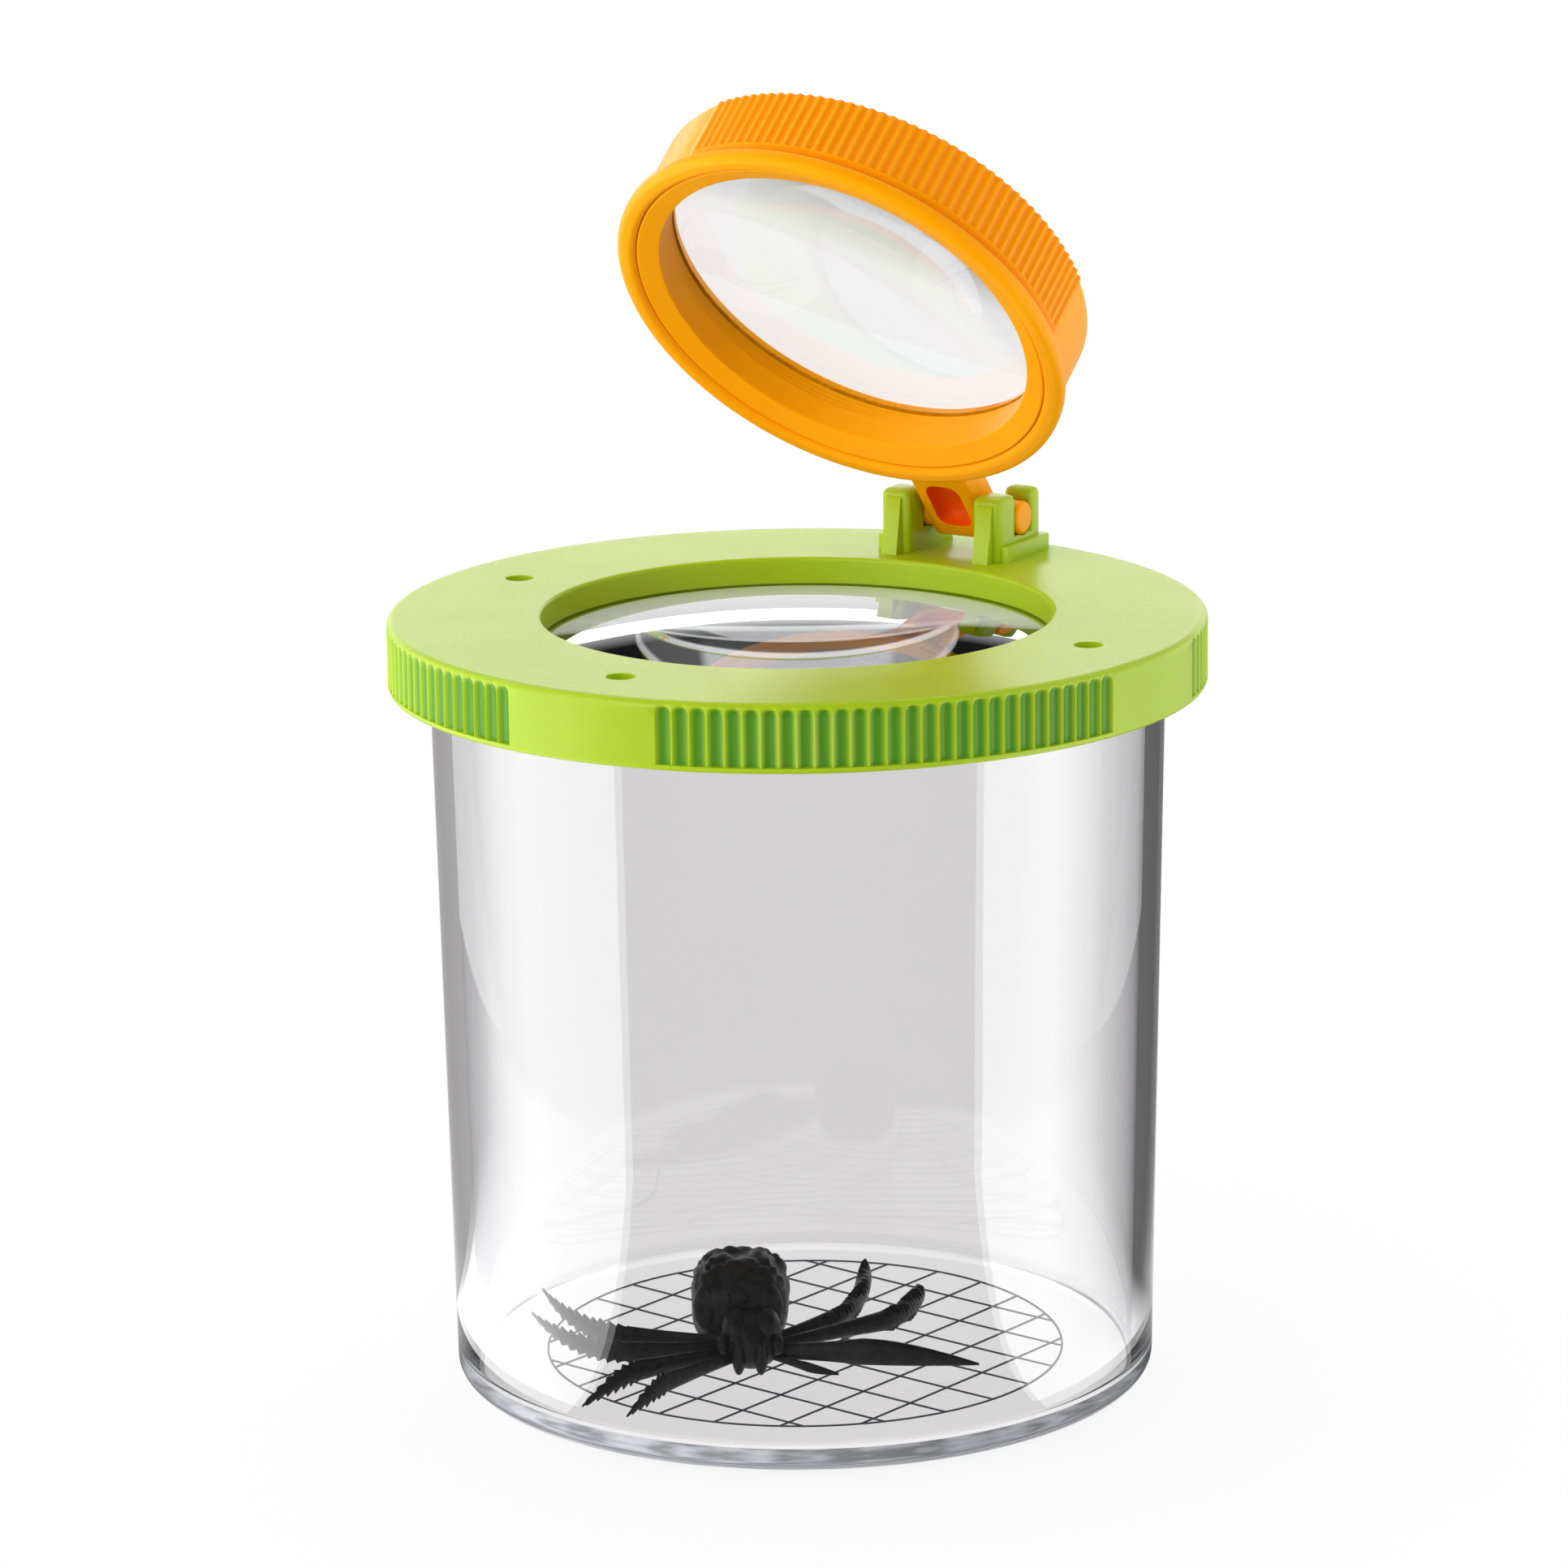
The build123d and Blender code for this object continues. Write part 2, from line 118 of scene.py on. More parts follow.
# Hinge
PIN_RADIUS = 1.5
PIN_BORE = 1.56
PIN_HALF = 6.1
PIN_ROUND = 0.4
ARM_WIDTH = 5.8
ARM_THICKNESS = 3.2
ARM_TAIL = 1.8
ARM_ROUND = 0.5
POCKET_WIDTH = 3.4
POCKET_LENGTH = 5.3
POCKET_DEPTH = 1.6
POCKET_FROM_TAIL = 1.7
POCKET_ROUND = 1.1
FLARE_WIDTH = 1.2
FLARE_LENGTH = 4.2
FLARE_STEPS = 8
CRADLE_INNER = 3.2
POST_WIDTH = 2.8
POST_ROUND = 0.6
FRONT_POST_DEPTH = 2.9
REAR_POST_DEPTH = 1.6
SNAP_THROAT = 2.6
CRADLE_BED = 1.9
CRADLE_LEDGE = 0.6
CRADLE_LEDGE_HEIGHT = 1.4
CRADLE_END = 0.5
GUSSET_WIDTH = 1.5
GUSSET_FOOT = 1.1
GUSSET_TOP_GAP = 0.6
GUSSET_PROUD = 0.25
EDGE_ROUND = 0.18
ROOT_DEPTH = 0.4
# Turn that lays a prism's plan in the YZ plane, with its height along X
SIDEWAYS = Matrix(((0, 0, 1, 0), (1, 0, 0, 0), (0, 1, 0, 0), (0, 0, 0, 1)))

# Magnifier, in its own closed frame with heights from its underside
MAGNIFIER_SINK = 1.2
MAGNIFIER_FORWARD = 0.4
FRAME_HEIGHT = 8.4
FLANGE_RADIUS = 20.6
FLANGE_HEIGHT = 1.4
FLANGE_ROUND = 0.65
FLANGE_GROOVE = 0.4
FRAME_BORE = 18.9
BAND_RADIUS = 19.8
FRAME_LIP_HEIGHT = 1.5
FRAME_EDGE_ROUND = 0.32
PAD_RISE = 0.26
PAD_RADIUS = BAND_RADIUS + PAD_RISE
PAD_START = math.radians(-114)
PAD_FLUTES = 42
PAD_PITCH = math.radians(2.76)
PAD_FLUTE_DEPTH = 0.2
PAD_CREST = 0.44
PAD_BORDER = 0.7
PAD_STEPS = 12
MAGNIFIER_LENS_RIM = 1.6
MAGNIFIER_LENS_UP = 1.3
MAGNIFIER_LENS_DOWN = 1.9
MAGNIFIER_LENS_CLEAR = 17.55
BEZEL_SINK = 0.35
BEZEL_CONE = 0.85
BEZEL_STEP = 0.2
BEZEL_STEP_HEIGHT = 0.55
BEZEL_STEPS = 3
BEZEL_STEP_ROUND = 0.05
BEZEL_ROUND = 0.17
ARM_REACH = HINGE_Y + MAGNIFIER_FORWARD
ARM_LEVEL = HINGE_Z - LID_TOP + MAGNIFIER_SINK
LENS_SHOULDER = FRAME_HEIGHT - FRAME_LIP_HEIGHT
BEZEL_TOP = LENS_SHOULDER - MAGNIFIER_LENS_RIM
MAGNIFIER_PLACE = (
    Matrix.Translation((0, HINGE_Y, HINGE_Z))
    @ Matrix.Rotation(-MAGNIFIER_OPEN, 4, "X")
    @ Matrix.Translation((0, -ARM_REACH, -ARM_LEVEL))
)

# Toy spider: places on the floor plan with heights above the floor
SPIDER_FLOOR = 1.9
SPIDER_LIFT = Vector((0, 0, SPIDER_FLOOR))
SPIDER_FACING = math.radians(-62)
ABDOMEN = Vector((-3.4, -5.2, 4.6))
ABDOMEN_HALVES = (4.8, 4.2, 4.1)
HEAD = Vector((0.4, -9.6, 2.9))
HEAD_HALVES = (3.2, 2.7, 2.5)
BALL_LEVEL = 5
ABDOMEN_SQUARE = 0.72
LUMP_CELL = 1.25
LUMP_HEIGHT = 0.55
LEG_STATIONS = 120
LEG_SIDES = 14
LEG_HIP_HALF = 0.6
LEG_TIP_HALF = 0.1
LEG_THINNESS = {"teeth": 0.42, "bumps": 0.85, "plain": 0.45}
TAPER = {"teeth": 2.4, "bumps": 12, "plain": 2.4}
KNEE_SHARE = 0.42
TOOTH_PITCH = 1.25
TOOTH_DEPTH = 0.6
TOOTH_LEVEL = 0.4
TOOTH_SHARPNESS = 3
BUMP_PITCH = 0.8
BUMP_HEIGHT = 0.42
BOW_SHARE = 0.3
PATH_STEP = 0.01
WORK_START = 8
WORK_END = 1.4
# Hip, knee and tip of each leg, half the height of its blade, and how its outer half is worked
SPIDER_LEGS = (
    ((-1.6, -9.8, 2.4), (-9.6, -13.0, 2.5), (-24.4, -5.2, 2.2), 0.9, "teeth"),
    ((-1.2, -10.6, 2.2), (-7.5, -16.1, 2.4), (-22.6, -9.5, 1.5), 0.9, "teeth"),
    ((-0.5, -11.2, 2.2), (-4.5, -19.6, 2.3), (-6.7, -25.0, 0.3), 0.95, "teeth"),
    ((0.3, -11.4, 2.0), (-1.3, -20.3, 2.0), (-2.1, -25.4, 0.3), 0.9, "teeth"),
    ((1.3, -8.2, 2.5), (2.8, -0.5, 2.3), (-2.9, 15.5, 2.2), 0.85, "bumps"),
    ((2.0, -8.8, 2.3), (6.9, 1.5, 2.3), (5.1, 11.7, 2.2), 0.9, "bumps"),
    ((2.3, -9.6, 2.1), (9.4, -6.5, 2.3), (17.0, 0.6, 0.3), 1.2, "plain"),
    ((2.0, -10.3, 2.0), (5.4, -8.9, 1.0), (7.8, -7.5, 0.3), 0.45, "plain"),
)

# Abdomen's warts: their reach, the level their skin starts from, and how they spread over the top and back
WART_REACH = 0.75
WART_LEVEL = 0.4
WART_SPREAD = (0.2, 1.3, 0.9)
# Paired balls on the body: the ball each sits on, how far ahead, aside and up, and its half sizes
SPIDER_BALLS = (
    ("facet", ABDOMEN, (3.3, 2.4, 0.3), (1.3, 1.5, 2.4)),
    ("knob", ABDOMEN, (4.2, 0.75, 1.5), (0.6, 0.45, 0.65)),
    ("shoulder", HEAD, (0.5, 1.35, 1.35), (1.9, 1.15, 1.5)),
    ("fang", HEAD, (2.7, 0.95, -0.6), (0.85, 0.6, 1.75)),
    ("cheek", HEAD, (1.9, 2.3, 0.1), (0.7, 0.6, 0.9)),
)

# Materials, with grain in features per metre and heights in metres
WHITE = (1, 1, 1, 1)
NOISE_SPAN = (0.3, 0.7)
PLASTIC_IOR = 1.5
LENS_IOR = 1.49
INK_IOR = 1.45
SKIN_IOR = 1.45
SKIN_GLOSS = 0.25
CLOUD_SCALE = 90.0
GRAIN_SCALE = 5200.0
GRAIN_HEIGHT = 0.00002
GRAIN_STRENGTH = 0.35
RIPPLE_SCALE = 55.0
POLISH_SCALE = 800.0
POLISH_ROUGHNESS = (0.0, 0.015)
# Facing values over which the painted edge shade comes in
EDGE_SHADE_SPAN = (0.52, 1.0)
LEVEL_SPAN = (0.8, 0.98)
SOAK_TINT = (0.05, 0.14, 0.26)
SHADOW_TINT = (0.92, 0.93, 0.93)
INK_SCALE = 2600.0
INK_TONES = ((0.02, 0.02, 0.024), (0.05, 0.05, 0.055))
INK_ROUGHNESS = (0.45, 0.65)
SKIN_SCALE = 1500.0
SKIN_TONES = ((0.004, 0.004, 0.0045), (0.011, 0.0105, 0.011))
SKIN_ROUGHNESS = (0.28, 0.5)
SKIN_HEIGHT = 0.00012
SKIN_STRENGTH = 0.8

# Camera at the photograph's angle, and the studio, in metres
CAMERA_PLACE = Vector((0.28513, -0.47701, 0.18961))
CAMERA_AZIMUTH = math.radians(31)
CAMERA_TILT = math.radians(13.929)
CAMERA_ROLL = math.radians(-0.681)
CAMERA_LENS = 153.18
SENSOR = 36.0
FLOOR_RADIUS = 1500
FLOOR_LIFT = 0.02
FLOOR_SIDES = 96
PAPER_TINT = (0.86, 0.86, 0.86)
PANEL_AWAY = 0.13
PANEL_BACK = -0.005
PANEL_WIDTH = 0.2
PANEL_HEIGHT = 0.22
# Each side of the camera: the brightness of its lamp, and where its cards fade out behind the jar's middle
SIDES = ((-1, 1.3, (-0.01, 0.035)), (1, 0.9, (-0.025, 0.015)))
# Other lamps: place across, towards the camera and up, the same of what they face, width, height, brightness
PANELS = (
    ("rear_panel", (0, -0.42, 0.58), (0, 0, 0.05), 0.7, 0.32, 2.0),
    ("backdrop_panel", (0, -0.9, 0.27), (0, 0, 0.067), 1.0, 0.08, 4.6),
    ("front_panel", (-0.5, 0.66, 0.32), (0, 0, 0.06), 0.6, 0.6, 3.1),
)
WORLD_LIGHT = 0.5
FAR_TONE = 0.97
CEILING_TONE = 0.04
CEILING_SPAN = (0.27, 0.33)
# Table as clear plastic shows it: tones, and the spans over which they change
SHADOW_KEPT = 0.72
SHADOW_REACH = (0.03, 0.075)
UNDER_JAR = (0.0298, 0.0304)
UNDER_SHARE = 0.88
UNDER_TONE = 1.0
TABLE_BESIDE = (0.032, 0.04)
TABLE_BEHIND = (0.0, 0.02)
TABLE_DEPTH = (0.0, 0.3)
TABLE_SPREAD = 0.04
TABLE_FAR = (0.26, 0.36)
TABLE_TONE = 0.8
DARK_TONES = (0.48, 0.16)
DARK_SPAN = (-0.02, 0.02)
FRONT_TONE = 0.05
FOOT_FACING = (0.55, 0.7)
FOOT_TONES = (0.74, 0.36)
FOOT_TINT = (0.93, 0.955, 1.0)
TABLE_TINT = (1.0, 0.98, 0.98)
FOOT_SPAN = (-0.02, 0.008)
FOOT_STREAKS = 260.0
STREAK_TONES = (0.6, 1.25)
STREAK_SPAN = (0.38, 0.62)
FOOT_EDGE = 0.0002
# Curved cards beside the jar: radii, bearings from the camera in degrees, height and brightness
CARD_TONE = 3.0
CARD_START = 0.036
CARD_END = 0.098
CARD_FRONT = 50
CARD_REAR = 115
CARD_LIFT = 0.0002
CARD_HEIGHT = 0.075
CARD_STEPS = 24
# Surfaces of clear plastic that a ray has passed, where the cards fade out and where the table turns plain
CARD_DEPTH = (2.0, 3.0)
THROUGH_DEPTH = (2.0, 4.0)
LENS_TONE = 0.58


# Outlines and meshes


def arc_about(centre, start, end):
    """Points from start to end on the shorter arc about a centre."""
    first = start - centre
    turn = first.angle_signed(end - centre)
    return [centre + Matrix.Rotation(-turn * step / ARC_STEPS, 2) @ first for step in range(ARC_STEPS + 1)]


def rounded(corners):
    """Closed outline through (radius, height, rounding) corners, with arcs and short supports beside them."""
    points = []
    for index, (radius, height, rounding) in enumerate(corners):
        corner = Vector((radius, height))
        before = (Vector(corners[index - 1][:2]) - corner).normalized()
        after = (Vector(corners[(index + 1) % len(corners)][:2]) - corner).normalized()
        if not rounding:
            points.append(corner)
            continue
        half = before.angle(after) / 2
        reach = rounding / math.tan(half)
        centre = corner + (before + after).normalized() * rounding / math.sin(half)
        points.append(corner + before * (reach + SUPPORT))
        points += arc_about(centre, corner + before * reach, corner + after * reach)
        points.append(corner + after * (reach + SUPPORT))
    return points


def refined(outline, longest, wanted):
    """The outline with extra points on those long edges whose ends are both wanted."""
    points = []
    for index, point in enumerate(outline):
        after = outline[(index + 1) % len(outline)]
        count = 1
        if wanted(point) and wanted(after):
            count = max(1, math.ceil((after - point).length / longest))
        points += [point.lerp(after, step / count) for step in range(count)]
    return points


def full_turn(steps=TURN_STEPS):
    """Evenly spaced angles."""
    return [2 * math.pi * step / steps for step in range(steps)]


def lathe(outline, angles, shape=None):
    """Points and faces of a closed outline turned about Z. shape(point, angle) may give a new radius."""
    points = []
    rings = []
    for point in outline:
        radius, height = point
        if radius < AXIS_RADIUS:
            rings.append([len(points)] * len(angles))
            points.append((0, 0, height))
            continue
        rings.append(range(len(points), len(points) + len(angles)))
        for angle in angles:
            reach = shape(point, angle) if shape else radius
            points.append((reach * math.cos(angle), reach * math.sin(angle), height))
    faces = []
    for index, ring in enumerate(rings):
        lower = rings[index - 1]
        for step in range(len(angles)):
            quad = (lower[step - 1], lower[step], ring[step], ring[step - 1])
            face = list(dict.fromkeys(quad))
            if len(face) > 2:
                faces.append(face)
    return points, faces


def add_object(name, points, faces, place=UNMOVED):
    """Mesh object from points in millimetres, smooth, with its sharp edges marked."""
    mesh = bpy.data.meshes.new(name)
    mesh.from_pydata([tuple((place @ Vector(point)) * MM) for point in points], [], faces)
    piece = bpy.data.objects.new(name, mesh)
    bpy.context.scene.collection.objects.link(piece)
    shade(piece)
    return piece


def shade(piece):
    """Outward normals, smooth faces and sharp edges by angle."""
    work = bmesh.new()
    work.from_mesh(piece.data)
    bmesh.ops.recalc_face_normals(work, faces=work.faces)
    for face in work.faces:
        face.smooth = True
    work.to_mesh(piece.data)
    work.free()
    piece.data.set_sharp_from_angle(angle=SHARP_ANGLE)


def settle(piece):
    """Replace a piece's mesh by the one its modifiers make."""
    graph = bpy.context.evaluated_depsgraph_get()
    old = piece.data
    piece.data = bpy.data.meshes.new_from_object(piece.evaluated_get(graph))
    piece.modifiers.clear()
    bpy.data.meshes.remove(old)


def join(base, tools, operation):
    """Unite the base with the tools, or cut them from it, and remove the tools."""
    for tool in tools:
        modifier = base.modifiers.new("join", "BOOLEAN")
        modifier.operation = operation
        modifier.solver = "MANIFOLD"
        modifier.object = tool
    settle(base)
    for tool in tools:
        bpy.data.objects.remove(tool)
    shade(base)
    return base


def block(name, x_range, y_range, z_range, rounding=EDGE_ROUND, place=UNMOVED, flat_low=False):
    """Box between pairs of coordinates with rounded edges, or with those of its underside left sharp."""
    work = bmesh.new()
    bmesh.ops.create_cube(work, size=1)
    ranges = (x_range, y_range, z_range)
    for vert in work.verts:
        for axis, (low, high) in enumerate(ranges):
            vert.co[axis] = high if vert.co[axis] > 0 else low
    edges = [
        edge for edge in work.edges
        if not (flat_low and all(vert.co.z == z_range[0] for vert in edge.verts))
    ]
    bmesh.ops.bevel(
        work, geom=edges, offset=rounding, segments=BEVEL_STEPS, profile=BEVEL_PROFILE, affect="EDGES"
    )
    points = [vert.co.copy() for vert in work.verts]
    faces = [[vert.index for vert in face.verts] for face in work.faces]
    work.free()
    return add_object(name, points, faces, place)


def prism(name, corners, low, high, place=UNMOVED):
    """Upright prism over a closed outline of plan points."""
    count = len(corners)
    points = [(x, y, low) for x, y in corners] + [(x, y, high) for x, y in corners]
    faces = [list(range(count))[::-1], list(range(count, 2 * count))]
    faces += [[step - 1, step, count + step, count + step - 1] for step in range(1, count)]
    faces.append([count - 1, 0, count, 2 * count - 1])
    return add_object(name, points, faces, place)


def rod(name, radius, half, rounding, place):
    """Round bar about the local Z axis with rounded ends."""
    outline = rounded([(0, -half, 0), (radius, -half, rounding), (radius, half, rounding), (0, half, 0)])
    return add_object(name, *lathe(outline, full_turn(ROD_STEPS)), place)


# Materials


def new_material(name):
    """Empty node material with its output."""
    material = bpy.data.materials.new(name)
    material.use_nodes = True
    tree = material.node_tree
    tree.nodes.clear()
    return material, tree, tree.nodes.new("ShaderNodeOutputMaterial")


def add_node(tree, kind, inputs=None, **settings):
    """Node with its settings, and with numbers or other nodes' outputs on its inputs."""
    made = tree.nodes.new(kind)
    for name, value in settings.items():
        setattr(made, name, value)
    for name, value in (inputs or {}).items():
        if isinstance(value, bpy.types.NodeSocket):
            tree.links.new(value, made.inputs[name])
        else:
            made.inputs[name].default_value = value
    return made


def add_noise(tree, scale, detail=3.0):
    """Noise over the frame's own coordinates, with a scale in features per metre."""
    place = add_node(tree, "ShaderNodeTexCoord").outputs["Object"]
    made = add_node(tree, "ShaderNodeTexNoise", {"Vector": place, "Scale": scale, "Detail": detail})
    return made.outputs["Fac"]


def ranged(tree, source, low, high, span=NOISE_SPAN):
    """A value moved from a span to the range from low to high, and held at its ends."""
    inputs = {"Value": source, "From Min": span[0], "From Max": span[1], "To Min": low, "To Max": high}
    return add_node(tree, "ShaderNodeMapRange", inputs).outputs["Result"]


def combined(tree, operation, first, second):
    """Two values taken together by a maths operation."""
    return add_node(tree, "ShaderNodeMath", {0: first, 1: second}, operation=operation).outputs["Value"]


def unsigned(tree, value):
    """A value without its sign."""
    return add_node(tree, "ShaderNodeMath", {0: value}, operation="ABSOLUTE").outputs["Value"]


def length_of(tree, vector):
    """Length of a vector."""
    return add_node(tree, "ShaderNodeVectorMath", {0: vector}, operation="LENGTH").outputs["Value"]


def axes_of(tree, vector):
    """X, Y and Z of a vector, by name."""
    return add_node(tree, "ShaderNodeSeparateXYZ", {"Vector": vector}).outputs


def rays(tree):
    """What is known of the ray that meets a surface, by name."""
    return add_node(tree, "ShaderNodeLightPath").outputs


def mixed(tree, factor, first, second):
    """Shader that runs from the first to the second with a factor."""
    return add_node(tree, "ShaderNodeMixShader", {"Fac": factor, 1: first, 2: second}).outputs["Shader"]


def blended(tree, source, first, second, span=NOISE_SPAN):
    """Colour that runs from the first to the second as a value runs over a span."""
    made = add_node(tree, "ShaderNodeValToRGB", {"Fac": source})
    for end, place, tint in zip(made.color_ramp.elements, span, (first, second)):
        end.position = place
        end.color = (*tint, 1)
    return made.outputs["Color"]


def bumped(tree, source, distance, strength=1.0):
    """Normal of a surface raised by a 0 to 1 value, over a distance in metres."""
    inputs = {"Height": source, "Distance": distance, "Strength": strength}
    return add_node(tree, "ShaderNodeBump", inputs).outputs["Normal"]


def shaded(tree, output, inputs):
    """Put a principled shader with its inputs on a material's output."""
    shader = add_node(tree, "ShaderNodeBsdfPrincipled", inputs)
    tree.links.new(shader.outputs["BSDF"], output.inputs["Surface"])


def flute_shade_mask(tree, place, bottom, crest, low, high):
    """Mask for painted shade in a fluted rim: 1 in the bottoms of its flutes and 0 on its crests and away
    from it.
    """
    spot = add_node(tree, "ShaderNodeTexCoord").outputs["Object"]
    turned = {"Vector": spot, "Location": place.translation * MM, "Rotation": place.to_euler()}
    local = add_node(tree, "ShaderNodeMapping", turned, vector_type="TEXTURE").outputs["Vector"]
    flat = add_node(tree, "ShaderNodeMapping", {"Vector": local, "Scale": (1, 1, 0)}).outputs["Vector"]
    radius = length_of(tree, flat)
    height = axes_of(tree, local)["Z"]
    inner_span = ((bottom - FLUTE_SHADE_FADE) * MM, (bottom - FLUTE_SHADE_FADE / 2) * MM)
    inner = ranged(tree, radius, 0.0, 1.0, inner_span)
    outer = ranged(tree, radius, 1.0, 0.0, ((bottom + FLUTE_SHADE_FADE) * MM, crest * MM))
    above = ranged(tree, height, 0.0, 1.0, (low * MM, (low + FLUTE_SHADE_FADE) * MM))
    below = ranged(tree, height, 1.0, 0.0, ((high - FLUTE_SHADE_FADE) * MM, high * MM))
    flute_shade = combined(tree, "MULTIPLY", inner, outer)
    level = combined(tree, "MULTIPLY", above, below)
    return combined(tree, "MULTIPLY", flute_shade, level)


def moulded_plastic(name, first, second, roughness, gloss, glow, glow_radius, flute_shade=None, rim=None):
    """Satin moulded plastic: faint clouds, fine grain, light that soaks in, and painted shade (a darker tint)
    in the bottoms of a rim's flutes.
    """
    material, tree, output = new_material(name)
    colour = blended(tree, add_noise(tree, CLOUD_SCALE), first, second)
    grain = add_noise(tree, GRAIN_SCALE, detail=2.0)
    # Painted shade: the colour darkens towards the bottoms of the flutes
    if flute_shade:
        flute_shading = {"Factor": flute_shade_mask(tree, *rim), "A": colour, "B": (*flute_shade, 1)}
        colour = add_node(tree, "ShaderNodeMix", flute_shading, data_type="RGBA").outputs["Result"]
    inputs = {
        "Base Color": colour,
        "Roughness": ranged(tree, grain, *roughness),
        "Normal": bumped(tree, grain, GRAIN_HEIGHT, GRAIN_STRENGTH),
        "IOR": PLASTIC_IOR, "Specular IOR Level": gloss[0], "Specular Tint": (*gloss[1], 1),
        "Subsurface Weight": glow, "Subsurface Radius": glow_radius, "Subsurface Scale": 1.0,
    }
    shaded(tree, output, inputs)
    return material


def upright_share(tree):
    """Value that is 1 on upright faces and 0 on level ones."""
    normal = add_node(tree, "ShaderNodeNewGeometry").outputs["Normal"]
    return ranged(tree, unsigned(tree, axes_of(tree, normal)["Z"]), 1.0, 0.0, LEVEL_SPAN)


def clear_plastic(name, tint, edge_shade, ior, wave, soaked, clear_floor=False):
    """Polished clear plastic, a little wavy, with painted shade where a wall is seen edge on, and darker
    through a great depth.
    """
    material, tree, output = new_material(name)
    # Painted shade: the colour darkens where the surface is seen edge on
    edge_on = add_node(tree, "ShaderNodeLayerWeight").outputs["Facing"]
    # The jar's level floor is kept free of the painted edge shade
    if clear_floor:
        edge_on = combined(tree, "MULTIPLY", edge_on, upright_share(tree))
    inputs = {
        "Base Color": blended(tree, edge_on, tint, edge_shade, EDGE_SHADE_SPAN),
        "Roughness": ranged(tree, add_noise(tree, POLISH_SCALE), *POLISH_ROUGHNESS),
        "Normal": bumped(tree, add_noise(tree, RIPPLE_SCALE, detail=1.0), wave),
        "IOR": ior, "Transmission Weight": 1.0,
    }
    shader = add_node(tree, "ShaderNodeBsdfPrincipled", inputs)
    light = rays(tree)
    clear = add_node(tree, "ShaderNodeBsdfTransparent", {"Color": (*SHADOW_TINT, 1)})
    surface = mixed(tree, light["Is Shadow Ray"], shader.outputs["BSDF"], clear.outputs["BSDF"])
    tree.links.new(surface, output.inputs["Surface"])
    depth = add_node(tree, "ShaderNodeVolumeAbsorption", {"Color": (*SOAK_TINT, 1), "Density": soaked})
    tree.links.new(depth.outputs["Volume"], output.inputs["Volume"])
    return material


def printed_ink(name):
    """Dark printed line, a little uneven in its black."""
    material, tree, output = new_material(name)
    speckle = add_noise(tree, INK_SCALE)
    inputs = {
        "Base Color": blended(tree, speckle, *INK_TONES),
        "Roughness": ranged(tree, speckle, *INK_ROUGHNESS),
        "IOR": INK_IOR,
    }
    shaded(tree, output, inputs)
    return material


def spider_rubber(name):
    """Black moulded rubber with a fine uneven skin."""
    material, tree, output = new_material(name)
    skin = add_noise(tree, SKIN_SCALE, detail=5.0)
    inputs = {
        "Base Color": blended(tree, skin, *SKIN_TONES),
        "Roughness": ranged(tree, skin, *SKIN_ROUGHNESS),
        "Normal": bumped(tree, skin, SKIN_HEIGHT, SKIN_STRENGTH),
        "IOR": SKIN_IOR, "Specular IOR Level": SKIN_GLOSS,
    }
    shaded(tree, output, inputs)
    return material


# Fluted rims whose flute bottoms get painted shade: place, radius of the flutes' bottoms and crests, and the
# heights they lie between
LID_RIM = (
    UNMOVED, LID_RADIUS - FLUTE_DEPTH, LID_RADIUS,
    LID_TOP - LID_HEIGHT + FLUTE_END, LID_TOP - FLUTE_END,
)
PAD_RIM = (
    MAGNIFIER_PLACE, PAD_RADIUS - PAD_FLUTE_DEPTH, PAD_RADIUS,
    FLANGE_HEIGHT + FLANGE_GROOVE, FRAME_HEIGHT,
)
GREEN = moulded_plastic(
    "green_plastic",
    first=(0.345, 0.495, 0.001),
    second=(0.38, 0.535, 0.003),
    roughness=(0.30, 0.42),
    gloss=(0.4, (1.0, 0.95, 0.8)),
    glow=0.25,
    glow_radius=(0.0012, 0.0016, 0.0004),
    # Darker green painted into the skirt's flute bottoms as shade
    flute_shade=(0.075, 0.28, 0.002),
    rim=LID_RIM,
)
# Darker, redder orange painted on the arm's pocket walls as shade in the recess
ORANGE_POCKET_SHADE = moulded_plastic(
    "orange_pocket_shade",
    first=(0.82, 0.085, 0.002),
    second=(0.9, 0.12, 0.003),
    roughness=(0.34, 0.48),
    gloss=(0.2, (1.0, 0.5, 0.2)),
    glow=0.4,
    glow_radius=(0.0022, 0.0006, 0.0002),
)
ORANGE = moulded_plastic(
    "orange_plastic",
    first=(0.98, 0.35, 0.0003),
    second=(1.0, 0.39, 0.0006),
    roughness=(0.30, 0.44),
    gloss=(0.2, (1.0, 0.6, 0.15)),
    glow=0.12,
    glow_radius=(0.0022, 0.0010, 0.0002),
    # Deeper orange painted into the grip pad's flute bottoms as shade
    flute_shade=(0.95, 0.28, 0.0003),
    rim=PAD_RIM,
)
CLEAR_JAR = clear_plastic(
    "clear_jar",
    tint=(0.985, 0.985, 0.99),
    # Dark painted shade at the jar's edges
    edge_shade=(0.30, 0.30, 0.33),
    ior=PLASTIC_IOR,
    wave=0.000004,
    soaked=8.0,
    clear_floor=True,
)
CLEAR_LENS = clear_plastic(
    "clear_lens",
    tint=(0.985, 0.99, 0.99),
    edge_shade=(0.70, 0.72, 0.73),
    # Grey painted shade at the lenses' edges
    ior=LENS_IOR,
    wave=0.0,
    soaked=4.0,
)
INK = printed_ink("grid_ink")
BLACK = spider_rubber("black_plastic")


def paint(piece, materials, index=0):
    """Give a piece its material slots, with all of its faces on one of them."""
    piece.data.materials.clear()
    for material in materials:
        piece.data.materials.append(material)
    for face in piece.data.polygons:
        face.material_index = index
    return piece


def dress(piece, material, body, node):
    """Give a piece its material, unless it is painted already, and its place in the frame."""
    if not any(piece.data.materials):
        paint(piece, (material,))
    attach(piece, body)
    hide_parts(node)
    return piece


# Jar, lenses and their rings


